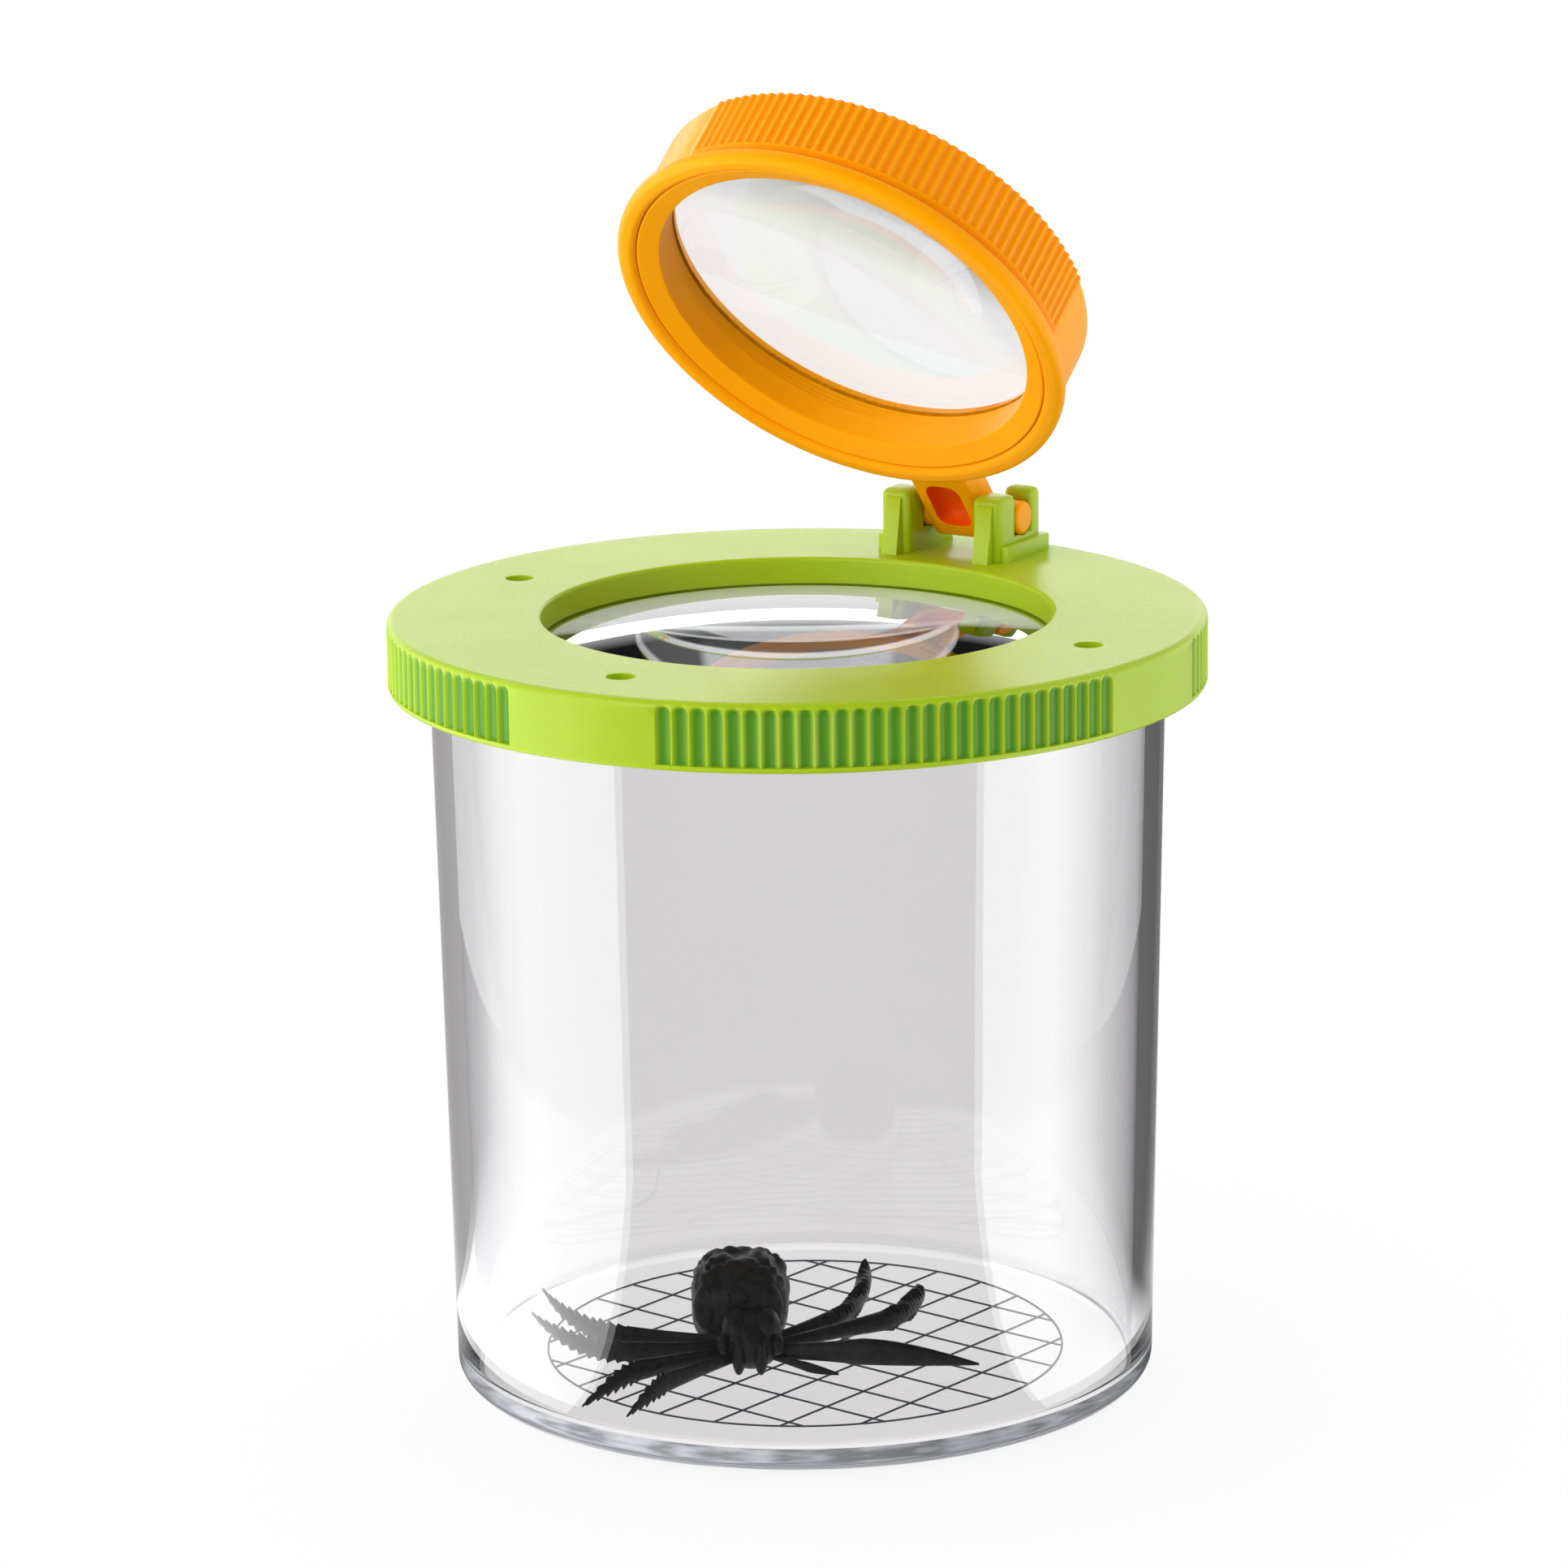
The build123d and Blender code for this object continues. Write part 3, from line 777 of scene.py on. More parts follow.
def jar_shell():
    """Drafted beaker with a rounded foot."""
    slope = (JAR_RIM_RADIUS - JAR_BASE_RADIUS) / JAR_HEIGHT
    corners = [
        (0, 0, 0),
        (JAR_BASE_RADIUS, 0, JAR_FOOT_ROUND),
        (JAR_RIM_RADIUS, JAR_HEIGHT, JAR_RIM_ROUND),
        (JAR_RIM_RADIUS - JAR_WALL, JAR_HEIGHT, JAR_RIM_ROUND),
        (JAR_BASE_RADIUS + JAR_FLOOR * slope - JAR_WALL, JAR_FLOOR, JAR_CORNER_ROUND),
        (0, JAR_FLOOR, 0),
    ]
    return add_object("jar_shell", *lathe(rounded(corners), full_turn()))


def cap(clear, level, bulge):
    """Points of a spherical cap from its rim to the axis, a bulge above or below the rim."""
    sphere = (clear**2 + bulge**2) / (2 * abs(bulge))
    sign = math.copysign(1, bulge)
    points = []
    for step in range(LENS_STEPS + 1):
        radius = clear * (1 - step / LENS_STEPS)
        sag = math.sqrt(sphere**2 - radius**2) - sphere
        points.append(Vector((radius, level + sign * sag + bulge)))
    return points


def lens(name, radius, clear, low, high, bulge_down, bulge_up, place=UNMOVED):
    """Biconvex lens with a flat rim."""
    outline = cap(clear, low, -bulge_down)[::-1]
    outline += [Vector((radius, low)), Vector((radius, high))]
    outline += cap(clear, high, bulge_up)
    return add_object(name, *lathe(outline, full_turn()), place)


def retainer():
    """Ring below the lid's lens."""
    high = LENS_SEAT - LID_LENS_RIM
    low = high - RETAINER_HEIGHT
    inner = LID_LENS_CLEAR + LENS_FIT
    outer = LID_LENS_RADIUS
    corners = [(outer, low), (outer, high), (inner, high), (inner, low)]
    outline = rounded([(*corner, EDGE_ROUND) for corner in corners])
    return add_object("lens_retainer", *lathe(outline, full_turn()))


# Lid


def soft_min(first, second, softness):
    """Smaller of two values, with the change between them rounded."""
    near = max(softness - abs(first - second), 0) / softness
    return min(first, second) - near * near * softness / 4


def skirt_angles():
    """Angles for the skirt: close together over the flutes, wide over the smooth fields."""
    angles = []
    span = FLUTES * FLUTE_PITCH
    field = math.radians(90) - span
    for sector in FLUTE_SECTORS:
        start = math.radians(sector) - span / 2
        angles += [start + FLUTE_PITCH * step / FLUTE_STEPS for step in range(FLUTES * FLUTE_STEPS + 1)]
        count = math.ceil(field / FIELD_STEP)
        angles += [start + span + field * step / count for step in range(1, count)]
    return angles


def skirt_radius(point, angle):
    """Radius of the lid's outside where ball-ended flutes are cut into it."""
    radius, height = point
    low = LID_TOP - LID_HEIGHT + FLUTE_END
    if radius < LID_RADIUS - LID_EDGE_ROUND or height < low:
        return radius
    quarter = math.radians(90)
    turn = (angle % quarter) - quarter / 2
    slot = turn / FLUTE_PITCH + FLUTES / 2
    if not 0 <= slot <= FLUTES:
        return radius
    offset = (slot % 1 - 0.5) * FLUTE_PITCH * LID_RADIUS
    ball = LID_TOP - LID_EDGE_ROUND - FLUTE_RADIUS / 2
    reach = FLUTE_RADIUS**2 - max(height - ball, 0) ** 2 - offset**2
    if reach <= 0:
        return radius
    cut = LID_RADIUS + FLUTE_RADIUS - FLUTE_DEPTH - math.sqrt(reach)
    return soft_min(radius, cut, FLUTE_SOFTNESS)


def lid_ring():
    """Turned body of the lid, with the flutes in its skirt."""
    low = LID_TOP - LID_HEIGHT
    inner = LID_RADIUS - LID_SKIRT_WALL
    seat = JAR_RIM_RADIUS + LID_FIT
    seat_low = JAR_HEIGHT - LID_SEAT_DEPTH
    bore = LID_LENS_RADIUS + LENS_FIT
    socket = bore + SOCKET_WALL
    socket_low = LENS_SEAT - LID_LENS_RIM - RETAINER_HEIGHT
    corners = [
        (WINDOW_RADIUS, LID_TOP, LID_SMALL_ROUND),
        (LID_RADIUS, LID_TOP, LID_EDGE_ROUND),
        (LID_RADIUS, low + FLUTE_END + STEP_GAP, 0),
        (LID_RADIUS, low + FLUTE_END - STEP_GAP, 0),
        (LID_RADIUS, low, LID_SMALL_ROUND),
        (inner, low, EDGE_ROUND),
        (inner, seat_low, 0),
        (seat, seat_low, EDGE_ROUND),
        (seat, JAR_HEIGHT, 0),
        (socket, JAR_HEIGHT, 0),
        (socket, socket_low, EDGE_ROUND),
        (bore, socket_low, EDGE_ROUND),
        (bore, LENS_SEAT, 0),
        (WINDOW_RADIUS, LENS_SEAT, EDGE_ROUND),
    ]
    skirt = LID_RADIUS - LID_EDGE_ROUND / 3
    outline = refined(rounded(corners), SKIRT_ROW, lambda point: point.x > skirt)
    return add_object("lid_ring", *lathe(outline, skirt_angles(), skirt_radius))


def cradle(side):
    """Open bearing for one pin stub: two posts on a bed, a ledge and a gusset."""
    inner = side * CRADLE_INNER
    outer = side * (CRADLE_INNER + POST_WIDTH)
    ledge = side * (CRADLE_INNER + POST_WIDTH + CRADLE_LEDGE)
    middle = (inner + outer) / 2
    front = HINGE_Y - PIN_BORE - FRONT_POST_DEPTH
    rear = HINGE_Y + PIN_BORE + REAR_POST_DEPTH
    throat = SNAP_THROAT / 2
    foot = LID_TOP - ROOT_DEPTH
    top = LID_TOP + POST_HEIGHT

    width = sorted((inner, outer))
    upright = Matrix.Translation((middle, 0, 0)) @ SIDEWAYS
    gusset = [
        (front + POST_ROUND, foot),
        (front - GUSSET_FOOT, foot),
        (front - GUSSET_FOOT, LID_TOP),
        (front - GUSSET_PROUD, top - GUSSET_TOP_GAP - GUSSET_PROUD),
        (front, top - GUSSET_TOP_GAP),
        (front + POST_ROUND, top - GUSSET_TOP_GAP),
    ]
    posts = block("post", width, (front, HINGE_Y - throat), (foot, top), POST_ROUND, flat_low=True)
    tools = [
        block("rear", width, (HINGE_Y + throat, rear), (foot, top), POST_ROUND, flat_low=True),
        block("bed", width, (front + POST_ROUND, rear - POST_ROUND), (foot, LID_TOP + CRADLE_BED)),
        block(
            "ledge", sorted((inner, ledge)), (front + CRADLE_END, rear + CRADLE_END),
            (foot, LID_TOP + CRADLE_LEDGE_HEIGHT),
        ),
        prism("gusset", gusset, -GUSSET_WIDTH / 2, GUSSET_WIDTH / 2, upright),
    ]
    join(posts, tools, "UNION")
    across = Matrix.Translation((middle, HINGE_Y, HINGE_Z)) @ Matrix.Rotation(math.radians(90), 4, "Y")
    return join(posts, [rod("bore", PIN_BORE, 2 * POST_WIDTH, EDGE_ROUND, across)], "DIFFERENCE")


def lid_body():
    """Lid with its air holes and both cradles."""
    ring = lid_ring()
    join(ring, [cradle(1), cradle(-1)], "UNION")
    vents = []
    for angle in VENT_ANGLES:
        turn = Matrix.Rotation(math.radians(angle), 4, "Z") @ Matrix.Translation((VENT_CIRCLE, 0, LID_TOP))
        vents.append(rod("vent", VENT_RADIUS, LID_HEIGHT, EDGE_ROUND, turn))
    return join(ring, vents, "DIFFERENCE")


# Magnifier


def pad_place(angle):
    """How far an angle lies along the grip pad, counted in flutes."""
    return ((angle - PAD_START) % (2 * math.pi)) / PAD_PITCH


def band_angles():
    """Angles for the frame: close together over the grip pad, even elsewhere."""
    count = PAD_FLUTES * PAD_STEPS
    angles = [PAD_START + PAD_PITCH * PAD_FLUTES * step / count for step in range(count + 1)]
    rest = 2 * math.pi - PAD_PITCH * PAD_FLUTES
    steps = math.ceil(rest / FIELD_STEP)
    return angles + [angles[-1] + rest * step / steps for step in range(1, steps)]


def band_radius(point, angle):
    """Radius of the frame's outside, raised and fluted over the grip pad."""
    radius, height = point
    low = FLANGE_HEIGHT + FLANGE_GROOVE
    place = pad_place(angle)
    if radius < BAND_RADIUS - FRAME_EDGE_ROUND or height < low or radius > BAND_RADIUS + EDGE_ROUND:
        return radius
    if place > PAD_FLUTES:
        return radius
    raised = radius + PAD_RISE
    if height < low + PAD_BORDER:
        return raised
    offset = abs(place % 1 - 0.5) * PAD_PITCH * BAND_RADIUS
    half = PAD_PITCH * BAND_RADIUS / 2
    crest = max(0, (offset - half + PAD_CREST) / PAD_CREST)
    return raised - PAD_FLUTE_DEPTH * (1 - crest * crest * (3 - 2 * crest))


def frame_ring():
    """Turned body of the magnifier frame with its rolled flange and fluted grip pad."""
    lip = MAGNIFIER_LENS_CLEAR + LENS_FIT
    groove = BAND_RADIUS - FLANGE_GROOVE
    low = FLANGE_HEIGHT + FLANGE_GROOVE
    corners = [
        (FRAME_BORE, 0, FLANGE_ROUND),
        (FLANGE_RADIUS, 0, FLANGE_ROUND),
        (FLANGE_RADIUS, FLANGE_HEIGHT, FRAME_EDGE_ROUND),
        (groove, FLANGE_HEIGHT, 0),
        (groove, low - STEP_GAP, 0),
        (BAND_RADIUS, low, 0),
        (BAND_RADIUS, low + PAD_BORDER - STEP_GAP, 0),
        (BAND_RADIUS, low + PAD_BORDER + STEP_GAP, 0),
        (BAND_RADIUS, FRAME_HEIGHT, FRAME_EDGE_ROUND),
        (lip, FRAME_HEIGHT, FRAME_EDGE_ROUND),
        (lip, LENS_SHOULDER, 0),
        (FRAME_BORE, LENS_SHOULDER, 0),
    ]
    turned = lathe(rounded(corners), band_angles(), band_radius)
    return add_object("magnifier_ring", *turned, MAGNIFIER_PLACE)


def arm_root(low):
    """Flare that widens the arm where it runs into the ring."""
    start = BAND_RADIUS - ROOT_DEPTH
    right = []
    for step in range(FLARE_STEPS + 1):
        share = step / FLARE_STEPS
        half = ARM_WIDTH / 2 - EDGE_ROUND + FLARE_WIDTH * (1 - share) ** 2
        right.append((half, start + FLARE_LENGTH * share))
    left = [(-x, y) for x, y in reversed(right)]
    return prism("flare", right + left, low + EDGE_ROUND, low + ARM_THICKNESS - EDGE_ROUND, MAGNIFIER_PLACE)


def magnifier_body():
    """Magnifier frame with its arm, pocket and pin stubs, the pocket's walls painted darker as shade."""
    colours = (ORANGE, ORANGE_POCKET_SHADE)
    ring = paint(frame_ring(), colours)
    tail = ARM_REACH + ARM_TAIL
    low = ARM_LEVEL - ARM_THICKNESS / 2
    root = BAND_RADIUS - ROOT_DEPTH
    half = ARM_WIDTH / 2
    arm = block("arm", (-half, half), (root, tail), (low, low + ARM_THICKNESS), ARM_ROUND, MAGNIFIER_PLACE)
    hinge = MAGNIFIER_PLACE @ Matrix.Translation((0, ARM_REACH, ARM_LEVEL))
    across = hinge @ Matrix.Rotation(math.radians(90), 4, "Y")
    pin = rod("pin", PIN_RADIUS, PIN_HALF, PIN_ROUND, across)
    join(paint(arm, colours), [paint(pin, colours), paint(arm_root(low), colours)], "UNION")
    pocket_high = tail - POCKET_FROM_TAIL
    pocket = block(
        "pocket",
        (-POCKET_WIDTH / 2, POCKET_WIDTH / 2),
        (pocket_high - POCKET_LENGTH, pocket_high),
        (low - POCKET_DEPTH, low + POCKET_DEPTH),
        POCKET_ROUND,
        MAGNIFIER_PLACE,
    )
    # The pocket's walls take the second slot, its painted shade colour
    join(arm, [paint(pocket, colours, 1)], "DIFFERENCE")
    return join(ring, [arm], "UNION")


def bezel():
    """Ring below the magnifier's lens: a conical face, a bore and fine steps up to the lens."""
    outer = FRAME_BORE - LENS_FIT
    top_bore = MAGNIFIER_LENS_CLEAR + LENS_FIT
    inner = top_bore - BEZEL_STEPS * BEZEL_STEP
    corners = [(outer, BEZEL_SINK, BEZEL_ROUND), (inner, BEZEL_SINK + BEZEL_CONE, BEZEL_ROUND)]
    for step in range(BEZEL_STEPS):
        height = BEZEL_TOP - (BEZEL_STEPS - step) * BEZEL_STEP_HEIGHT
        radius = inner + (step + 1) * BEZEL_STEP
        corners += [(radius - BEZEL_STEP, height, BEZEL_STEP_ROUND), (radius, height, BEZEL_STEP_ROUND)]
    corners += [(top_bore, BEZEL_TOP, 0), (outer, BEZEL_TOP, 0)]
    return add_object("magnifier_bezel_ring", *lathe(rounded(corners), full_turn()), MAGNIFIER_PLACE)


# Toy spider


def ball(name, centre, halves, lump=None, square=1.0):
    """Ellipsoid, squarer for a lower power, that faces the spider's way. lump(direction) raises its skin."""
    work = bmesh.new()
    bmesh.ops.create_icosphere(work, subdivisions=BALL_LEVEL, radius=1)
    points = []
    for vert in work.verts:
        direction = vert.co.normalized()
        rise = lump(direction) if lump else 0
        skin = [half * math.copysign(abs(part) ** square, part) for half, part in zip(halves, direction)]
        points.append(Vector(skin) + direction * rise)
    faces = [[vert.index for vert in face.verts] for face in work.faces]
    work.free()
    place = Matrix.Translation(centre + SPIDER_LIFT) @ Matrix.Rotation(SPIDER_FACING, 4, "Z")
    return add_object(name, points, faces, place)


def abdomen_lump(direction):
    """Cobbled warts on the abdomen's top and back, and a smooth front."""
    spot = Vector(direction) * (ABDOMEN_HALVES[0] / LUMP_CELL)
    distance = noise.voronoi(spot)[0][0]
    wart = max(0, 1 - (distance / WART_REACH) ** 2)
    start, upward, backward = WART_SPREAD
    back = min(1, max(0, start + direction.z * upward - direction.x * backward))
    return LUMP_HEIGHT * back * (wart - WART_LEVEL)


def leg_path(hip, knee, tip, share):
    """Point at a share of a leg's length: straight to the knee, then in a bow to the tip."""
    if share < KNEE_SHARE:
        return hip.lerp(knee, share / KNEE_SHARE)
    part = (share - KNEE_SHARE) / (1 - KNEE_SHARE)
    outward = (knee - hip).normalized() * (tip - knee).length * BOW_SHARE
    return knee.lerp(knee + outward, part).lerp((knee + outward).lerp(tip, part), part)


def leg_half(share, blade, style):
    """Half the height of a leg: slim to the knee, a wide blade beyond it, and a pointed or blunt end."""
    if share < KNEE_SHARE:
        return blade * (LEG_HIP_HALF + (1 - LEG_HIP_HALF) * (share / KNEE_SHARE) ** 2)
    part = (share - KNEE_SHARE) / (1 - KNEE_SHARE)
    return LEG_TIP_HALF + (blade - LEG_TIP_HALF) * (1 - part ** TAPER[style])


def leg_edge(style, along, angle):
    """How far a leg's outline is raised at a distance along it and an angle round it."""
    if style == "teeth":
        tooth = along / TOOTH_PITCH % 1 - TOOTH_LEVEL
        return TOOTH_DEPTH * abs(math.sin(angle)) ** TOOTH_SHARPNESS * tooth
    if style == "bumps":
        row = math.sin(along * 2 * math.pi / BUMP_PITCH)
        return BUMP_HEIGHT * row * (0.5 + 0.5 * math.sin(angle * 2 + along))
    return 0


def leg(hip, knee, tip, blade, style):
    """Flat tapered leg, bent at the knee, with teeth or bumps on its outer half."""
    hip, knee, tip = [Vector(point) + SPIDER_LIFT for point in (hip, knee, tip)]
    length = (knee - hip).length + (tip - knee).length
    up = Vector((0, 0, 1))
    points = []
    for station in range(LEG_STATIONS + 1):
        share = station / LEG_STATIONS
        middle = leg_path(hip, knee, tip, share)
        ahead = leg_path(hip, knee, tip, min(1, share + PATH_STEP))
        behind = leg_path(hip, knee, tip, max(0, share - PATH_STEP))
        side = (ahead - behind).cross(up).normalized()
        half = leg_half(share, blade, style)
        worked = min(1, max(0, (share - KNEE_SHARE) * WORK_START)) * min(1, half / blade * WORK_END)
        for angle in full_turn(LEG_SIDES):
            raised = leg_edge(style, share * length, angle) * worked
            outward = side * half * LEG_THINNESS[style] * math.cos(angle)
            point = middle + outward + up * (half + raised) * math.sin(angle)
            point.z = max(point.z, SPIDER_FLOOR)
            points.append(point)
    faces = [list(range(LEG_SIDES))[::-1], list(range(len(points) - LEG_SIDES, len(points)))]
    for low in range(0, len(points) - LEG_SIDES, LEG_SIDES):
        for step in range(LEG_SIDES):
            after = (step + 1) % LEG_SIDES
            faces.append([low + step, low + after, low + LEG_SIDES + after, low + LEG_SIDES + step])
    return add_object("leg", points, faces)


def spider_figure():
    """Spider in one moulding: warty abdomen, ridged head with fangs, and eight worked legs."""
    turn = Matrix.Rotation(SPIDER_FACING, 3, "Z")
    body = ball("spider_figure", ABDOMEN, ABDOMEN_HALVES, abdomen_lump, ABDOMEN_SQUARE)
    tools = [ball("head", HEAD, HEAD_HALVES)]
    for side in (-1, 1):
        for name, centre, (ahead, aside, above), halves in SPIDER_BALLS:
            tools.append(ball(name, centre + turn @ Vector((ahead, side * aside, above)), halves))
    tools += [leg(*points) for points in SPIDER_LEGS]
    return join(body, tools, "UNION")


# Pieces on their bodies

dress(jar_shell(), CLEAR_JAR, "jar", "jar")
dress(lid_body(), GREEN, "lid", "lid")
dress(
    lens(
        "lid_lens_glass", LID_LENS_RADIUS, LID_LENS_CLEAR, LENS_SEAT - LID_LENS_RIM, LENS_SEAT,
        LID_LENS_BULGE, LID_LENS_BULGE,
    ),
    CLEAR_LENS, "lid", "lid_lens",
)
dress(retainer(), GREEN, "lid", "lid_lens_retainer")
dress(magnifier_body(), ORANGE, "magnifier", "magnifier_frame")
dress(
    lens(
        "magnifier_lens_glass", FRAME_BORE - LENS_FIT, MAGNIFIER_LENS_CLEAR, BEZEL_TOP, LENS_SHOULDER,
        MAGNIFIER_LENS_DOWN, MAGNIFIER_LENS_UP, MAGNIFIER_PLACE,
    ),
    CLEAR_LENS, "magnifier", "magnifier_lens",
)
dress(bezel(), ORANGE, "magnifier", "magnifier_bezel")
dress(spider_figure(), BLACK, "spider", "toy_spider")

paint(frame["nodes"]["measuring_grid"], (INK,))


# Studio


def camera_side(across, back, height):
    """Point given by its distance to the camera's right, towards the camera, and above the table."""
    return Matrix.Rotation(CAMERA_AZIMUTH, 3, "Z") @ Vector((across, -back, height))


def turned_place(tree):
    """Place in the room, with X across the photograph and Y away from it."""
    spot = add_node(tree, "ShaderNodeTexCoord").outputs["Object"]
    turned = {"Vector": spot, "Rotation": (0, 0, -CAMERA_AZIMUTH)}
    return add_node(tree, "ShaderNodeMapping", turned).outputs["Vector"]


def studio_floor():
    """White table that keeps the soft shadow near the object and runs out to plain white."""
    material, tree, output = new_material("studio_floor")
    turned = turned_place(tree)
    distance = length_of(tree, turned)
    light = rays(tree)
    away = ranged(tree, distance, SHADOW_KEPT, 1.0, SHADOW_REACH)
    seen = combined(tree, "MULTIPLY", away, light["Is Camera Ray"])
    paper = add_node(tree, "ShaderNodeBsdfDiffuse", {"Color": (*PAPER_TINT, 1)})
    white = add_node(tree, "ShaderNodeEmission", {"Color": WHITE, "Strength": 1.0})
    table = mixed(tree, seen, paper.outputs["BSDF"], white.outputs["Emission"])
    foot = foot_share(tree, distance)
    tint = blended(tree, foot, TABLE_TINT, FOOT_TINT)
    tone = tone_between(tree, foot, table_tone(tree, turned, distance), foot_tone(tree, turned))
    mirrored = add_node(tree, "ShaderNodeEmission", {"Color": tint, "Strength": tone})
    clear = combined(tree, "MAXIMUM", light["Is Glossy Ray"], light["Is Transmission Ray"])
    beyond = ranged(tree, distance, UNDER_SHARE, 1.0, UNDER_JAR)
    outside = combined(tree, "MULTIPLY", clear, combined(tree, "MAXIMUM", beyond, foot))
    tree.links.new(mixed(tree, outside, table, mirrored.outputs["Emission"]), output.inputs["Surface"])
    points = [
        (FLOOR_RADIUS * math.cos(angle), FLOOR_RADIUS * math.sin(angle), FLOOR_LIFT)
        for angle in full_turn(FLOOR_SIDES)
    ]
    floor = add_object("studio_floor", points, [list(range(FLOOR_SIDES))])
    floor.data.materials.append(material)


def foot_share(tree, distance):
    """Value that is 1 where the table is seen flatly through the thickness of the jar's foot."""
    facing = add_node(tree, "ShaderNodeLayerWeight").outputs["Facing"]
    flat = ranged(tree, facing, 0.0, 1.0, FOOT_FACING)
    edge = JAR_BASE_RADIUS * MM
    below = ranged(tree, distance, 1.0, 0.0, (edge - FOOT_EDGE, edge))
    return combined(tree, "MULTIPLY", flat, below)


def foot_tone(tree, turned):
    """Brightness of the foot's edge: paler to the left, with streaks of light caught in the floor."""
    side = ranged(tree, axes_of(tree, turned)["X"], *FOOT_TONES, FOOT_SPAN)
    streak = ranged(tree, add_noise(tree, FOOT_STREAKS, detail=2.0), *STREAK_TONES, STREAK_SPAN)
    return combined(tree, "MULTIPLY", side, streak)


def table_tone(tree, turned, distance):
    """Brightness of the table in clear plastic: white below the jar and far off, grey behind, dark beside."""
    axes = axes_of(tree, turned)
    spread = ranged(tree, axes["Y"], 0.0, TABLE_SPREAD, TABLE_DEPTH)
    narrowed = combined(tree, "SUBTRACT", unsigned(tree, axes["X"]), spread)
    beside = ranged(tree, narrowed, 1.0, 0.0, TABLE_BESIDE)
    behind = ranged(tree, axes["Y"], 0.0, 1.0, TABLE_BEHIND)
    centre = combined(tree, "MULTIPLY", beside, behind)
    sides = ranged(tree, axes["X"], *DARK_TONES, DARK_SPAN)
    light = rays(tree)
    unturned = ranged(tree, light["Glossy Depth"], 1.0, 0.0, (0.0, 1.0))
    ahead = tone_between(tree, unturned, FRONT_TONE, TABLE_TONE)
    dark = tone_between(tree, behind, ahead, sides)
    under = ranged(tree, distance, 1.0, 0.0, UNDER_JAR)
    far = ranged(tree, distance, 0.0, 1.0, TABLE_FAR)
    passed = ranged(tree, light["Transmission Depth"], 0.0, 1.0, THROUGH_DEPTH)
    through = combined(tree, "MULTIPLY", passed, unturned)
    near_tone = tone_between(tree, combined(tree, "MAXIMUM", centre, through), dark, TABLE_TONE)
    jar_tone = tone_between(tree, under, near_tone, UNDER_TONE)
    far_tone = tone_between(tree, through, FAR_TONE, LENS_TONE)
    return tone_between(tree, far, jar_tone, far_tone)


def tone_between(tree, factor, low, high):
    """Value that a factor moves from low to high, each a number or an output."""
    return add_node(tree, "ShaderNodeMix", {"Factor": factor, "A": low, "B": high}).outputs["Result"]


def mirror_card(name, side, fade, low, high):
    """Bright curved card from a low to a high (radius, height) that shows only in near polished surfaces."""
    material, tree, output = new_material(name)
    glow = add_node(tree, "ShaderNodeEmission", {"Color": WHITE, "Strength": CARD_TONE})
    light = rays(tree)
    near = ranged(tree, light["Transmission Depth"], 1.0, 0.0, CARD_DEPTH)
    ahead = ranged(tree, axes_of(tree, turned_place(tree))["Y"], 1.0, 0.0, fade)
    empty = add_node(tree, "ShaderNodeBsdfTransparent")
    shown = combined(tree, "MULTIPLY", near, ahead)
    seen = mixed(tree, shown, empty.outputs["BSDF"], glow.outputs["Emission"])
    tree.links.new(seen, output.inputs["Surface"])
    points = []
    for radius, height in (low, high):
        for step in range(CARD_STEPS + 1):
            bearing = math.radians(CARD_FRONT + (CARD_REAR - CARD_FRONT) * step / CARD_STEPS)
            spot = camera_side(side * radius * math.sin(bearing), radius * math.cos(bearing), height)
            points.append(spot / MM)
    count = CARD_STEPS + 1
    faces = [[step, step + 1, count + step + 1, count + step] for step in range(CARD_STEPS)]
    card = add_object(name, points, faces)
    card.data.materials.append(material)
    card.visible_camera = False
    card.visible_diffuse = False
    card.visible_shadow = False


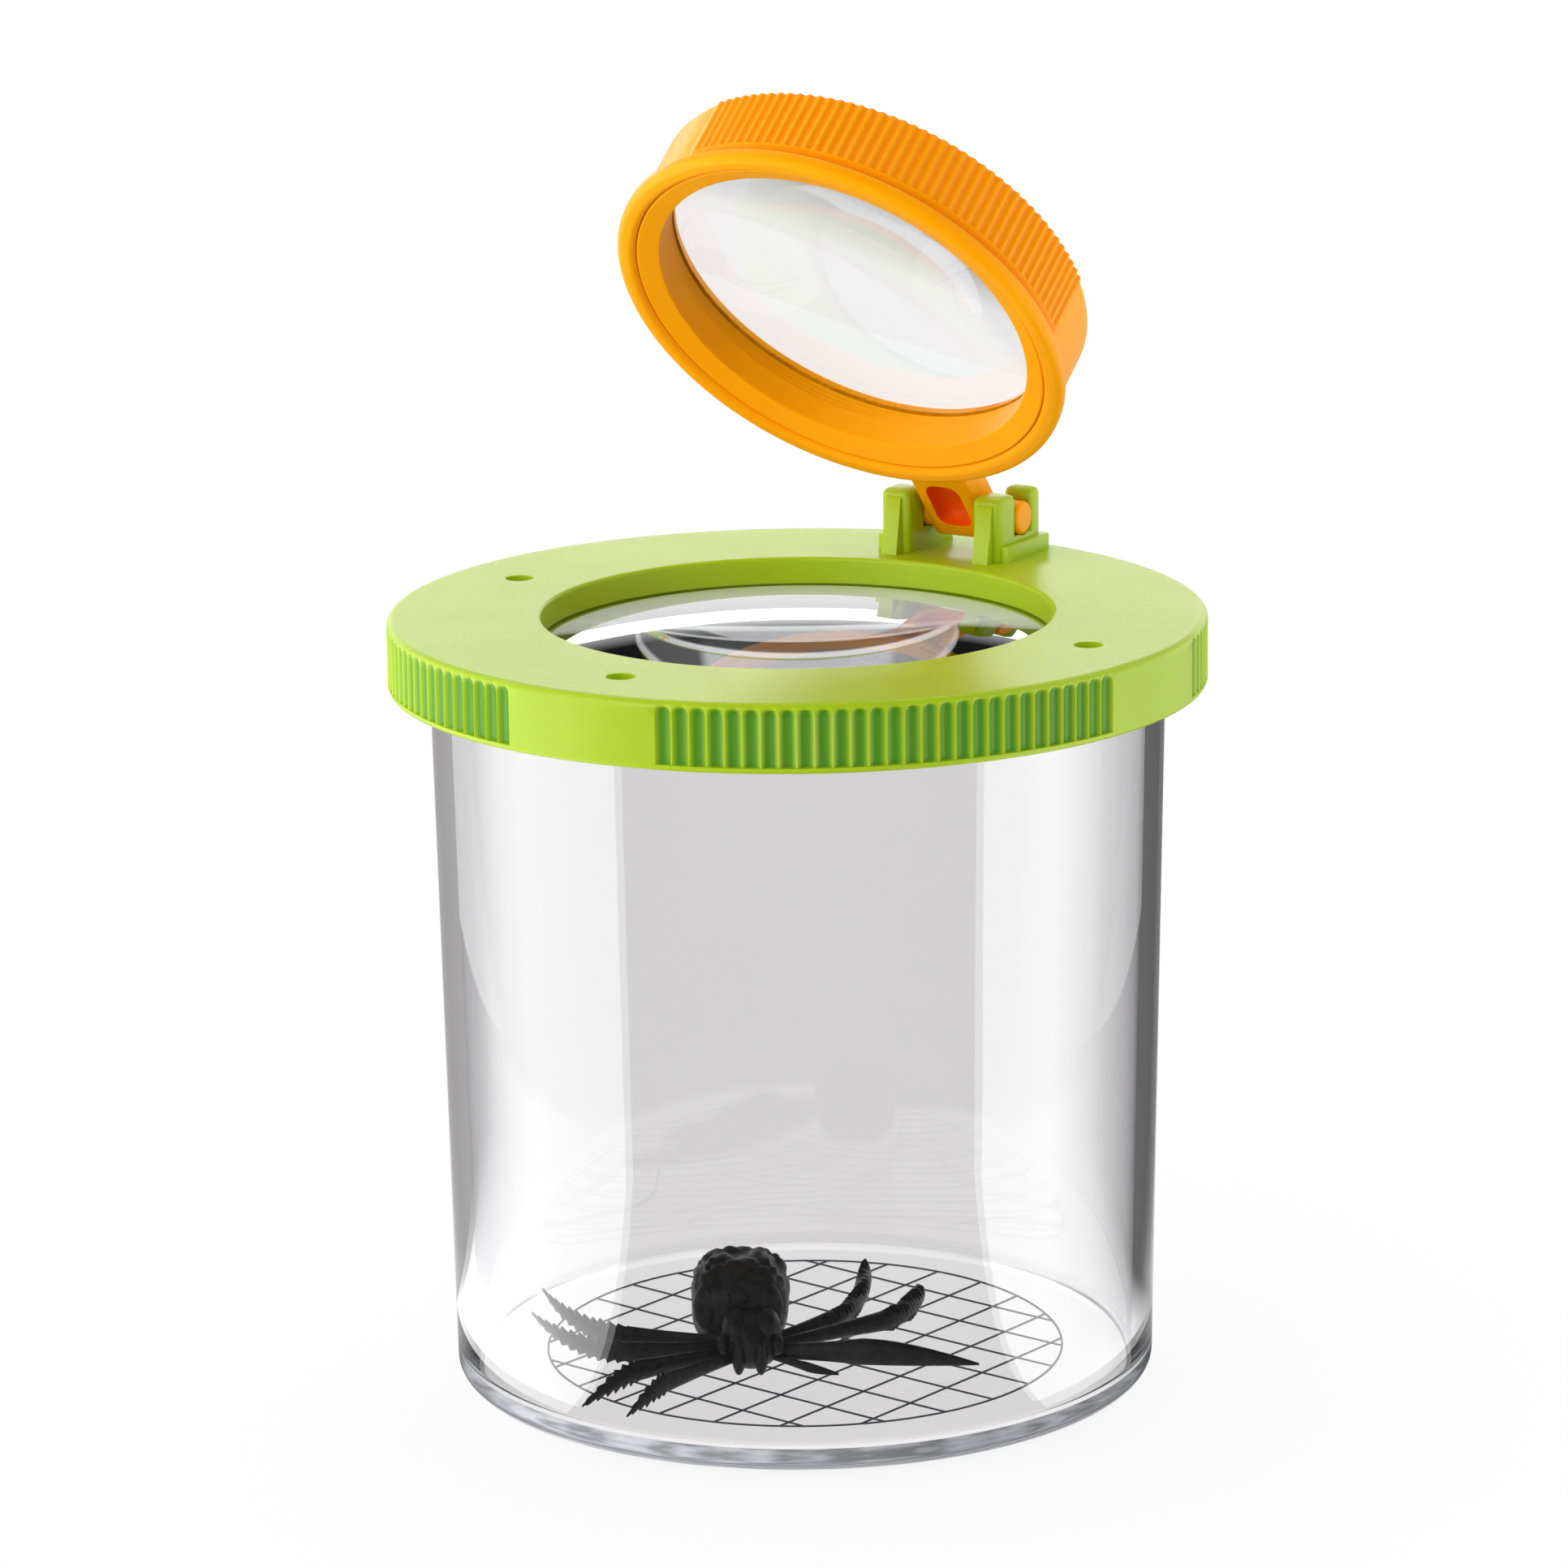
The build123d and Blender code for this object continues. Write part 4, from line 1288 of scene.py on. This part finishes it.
def studio_world():
    """White sky with a dark ceiling for what sees it, and a plain soft light for all else."""
    world = bpy.data.worlds.new("studio")
    world.use_nodes = True
    tree = world.node_tree
    tree.nodes.clear()
    output = tree.nodes.new("ShaderNodeOutputWorld")
    light = rays(tree)
    clear = combined(tree, "MAXIMUM", light["Is Glossy Ray"], light["Is Transmission Ray"])
    seen = combined(tree, "MAXIMUM", light["Is Camera Ray"], clear)
    soft = add_node(tree, "ShaderNodeBackground", {"Color": WHITE, "Strength": WORLD_LIGHT})
    sky = add_node(tree, "ShaderNodeTexCoord").outputs["Generated"]
    tone = ranged(tree, axes_of(tree, sky)["Z"], 1.0, CEILING_TONE, CEILING_SPAN)
    white = add_node(tree, "ShaderNodeBackground", {"Color": WHITE, "Strength": tone})
    surroundings = mixed(tree, seen, soft.outputs["Background"], white.outputs["Background"])
    tree.links.new(surroundings, output.inputs["Surface"])
    bpy.context.scene.world = world


def light_panel(name, middle, target, width, height, radiance):
    """Rectangular lamp that faces a point, with its power set by the brightness of its face."""
    lamp = bpy.data.lights.new(name, "AREA")
    lamp.shape = "RECTANGLE"
    lamp.size = width
    lamp.size_y = height
    lamp.energy = radiance * math.pi * width * height
    panel = bpy.data.objects.new(name, lamp)
    panel.location = middle
    panel.rotation_mode = "QUATERNION"
    panel.rotation_quaternion = (middle - target).to_track_quat("Z", "Y")
    panel.visible_camera = False
    panel.visible_transmission = False
    bpy.context.scene.collection.objects.link(panel)


def photo_camera():
    """Camera at the photograph's place, with its small roll."""
    turn = Matrix.Rotation(CAMERA_AZIMUTH, 4, "Z")
    tilt = Matrix.Rotation(math.radians(90) - CAMERA_TILT, 4, "X")
    roll = Matrix.Rotation(CAMERA_ROLL, 4, "Z")
    data = bpy.data.cameras.new("photo_camera")
    data.lens = CAMERA_LENS
    data.sensor_width = SENSOR
    camera = bpy.data.objects.new("photo_camera", data)
    camera.matrix_world = Matrix.Translation(CAMERA_PLACE) @ turn @ tilt @ roll
    bpy.context.scene.collection.objects.link(camera)
    bpy.context.scene.camera = camera


studio_floor()
studio_world()
for side, tone, fade in SIDES:
    middle = camera_side(side * PANEL_AWAY, PANEL_BACK, PANEL_HEIGHT / 2)
    target = camera_side(0, PANEL_BACK, PANEL_HEIGHT / 2)
    light_panel("side_panel", middle, target, PANEL_WIDTH, PANEL_HEIGHT, tone)
    mirror_card("table_card", side, fade, (CARD_START, CARD_LIFT), (CARD_END, CARD_LIFT))
    mirror_card("wall_card", side, fade, (CARD_END, CARD_LIFT), (CARD_END, CARD_HEIGHT))
for name, middle, target, width, height, tone in PANELS:
    light_panel(name, camera_side(*middle), camera_side(*target), width, height, tone)
photo_camera()
bpy.context.scene.view_settings.view_transform = "Standard"
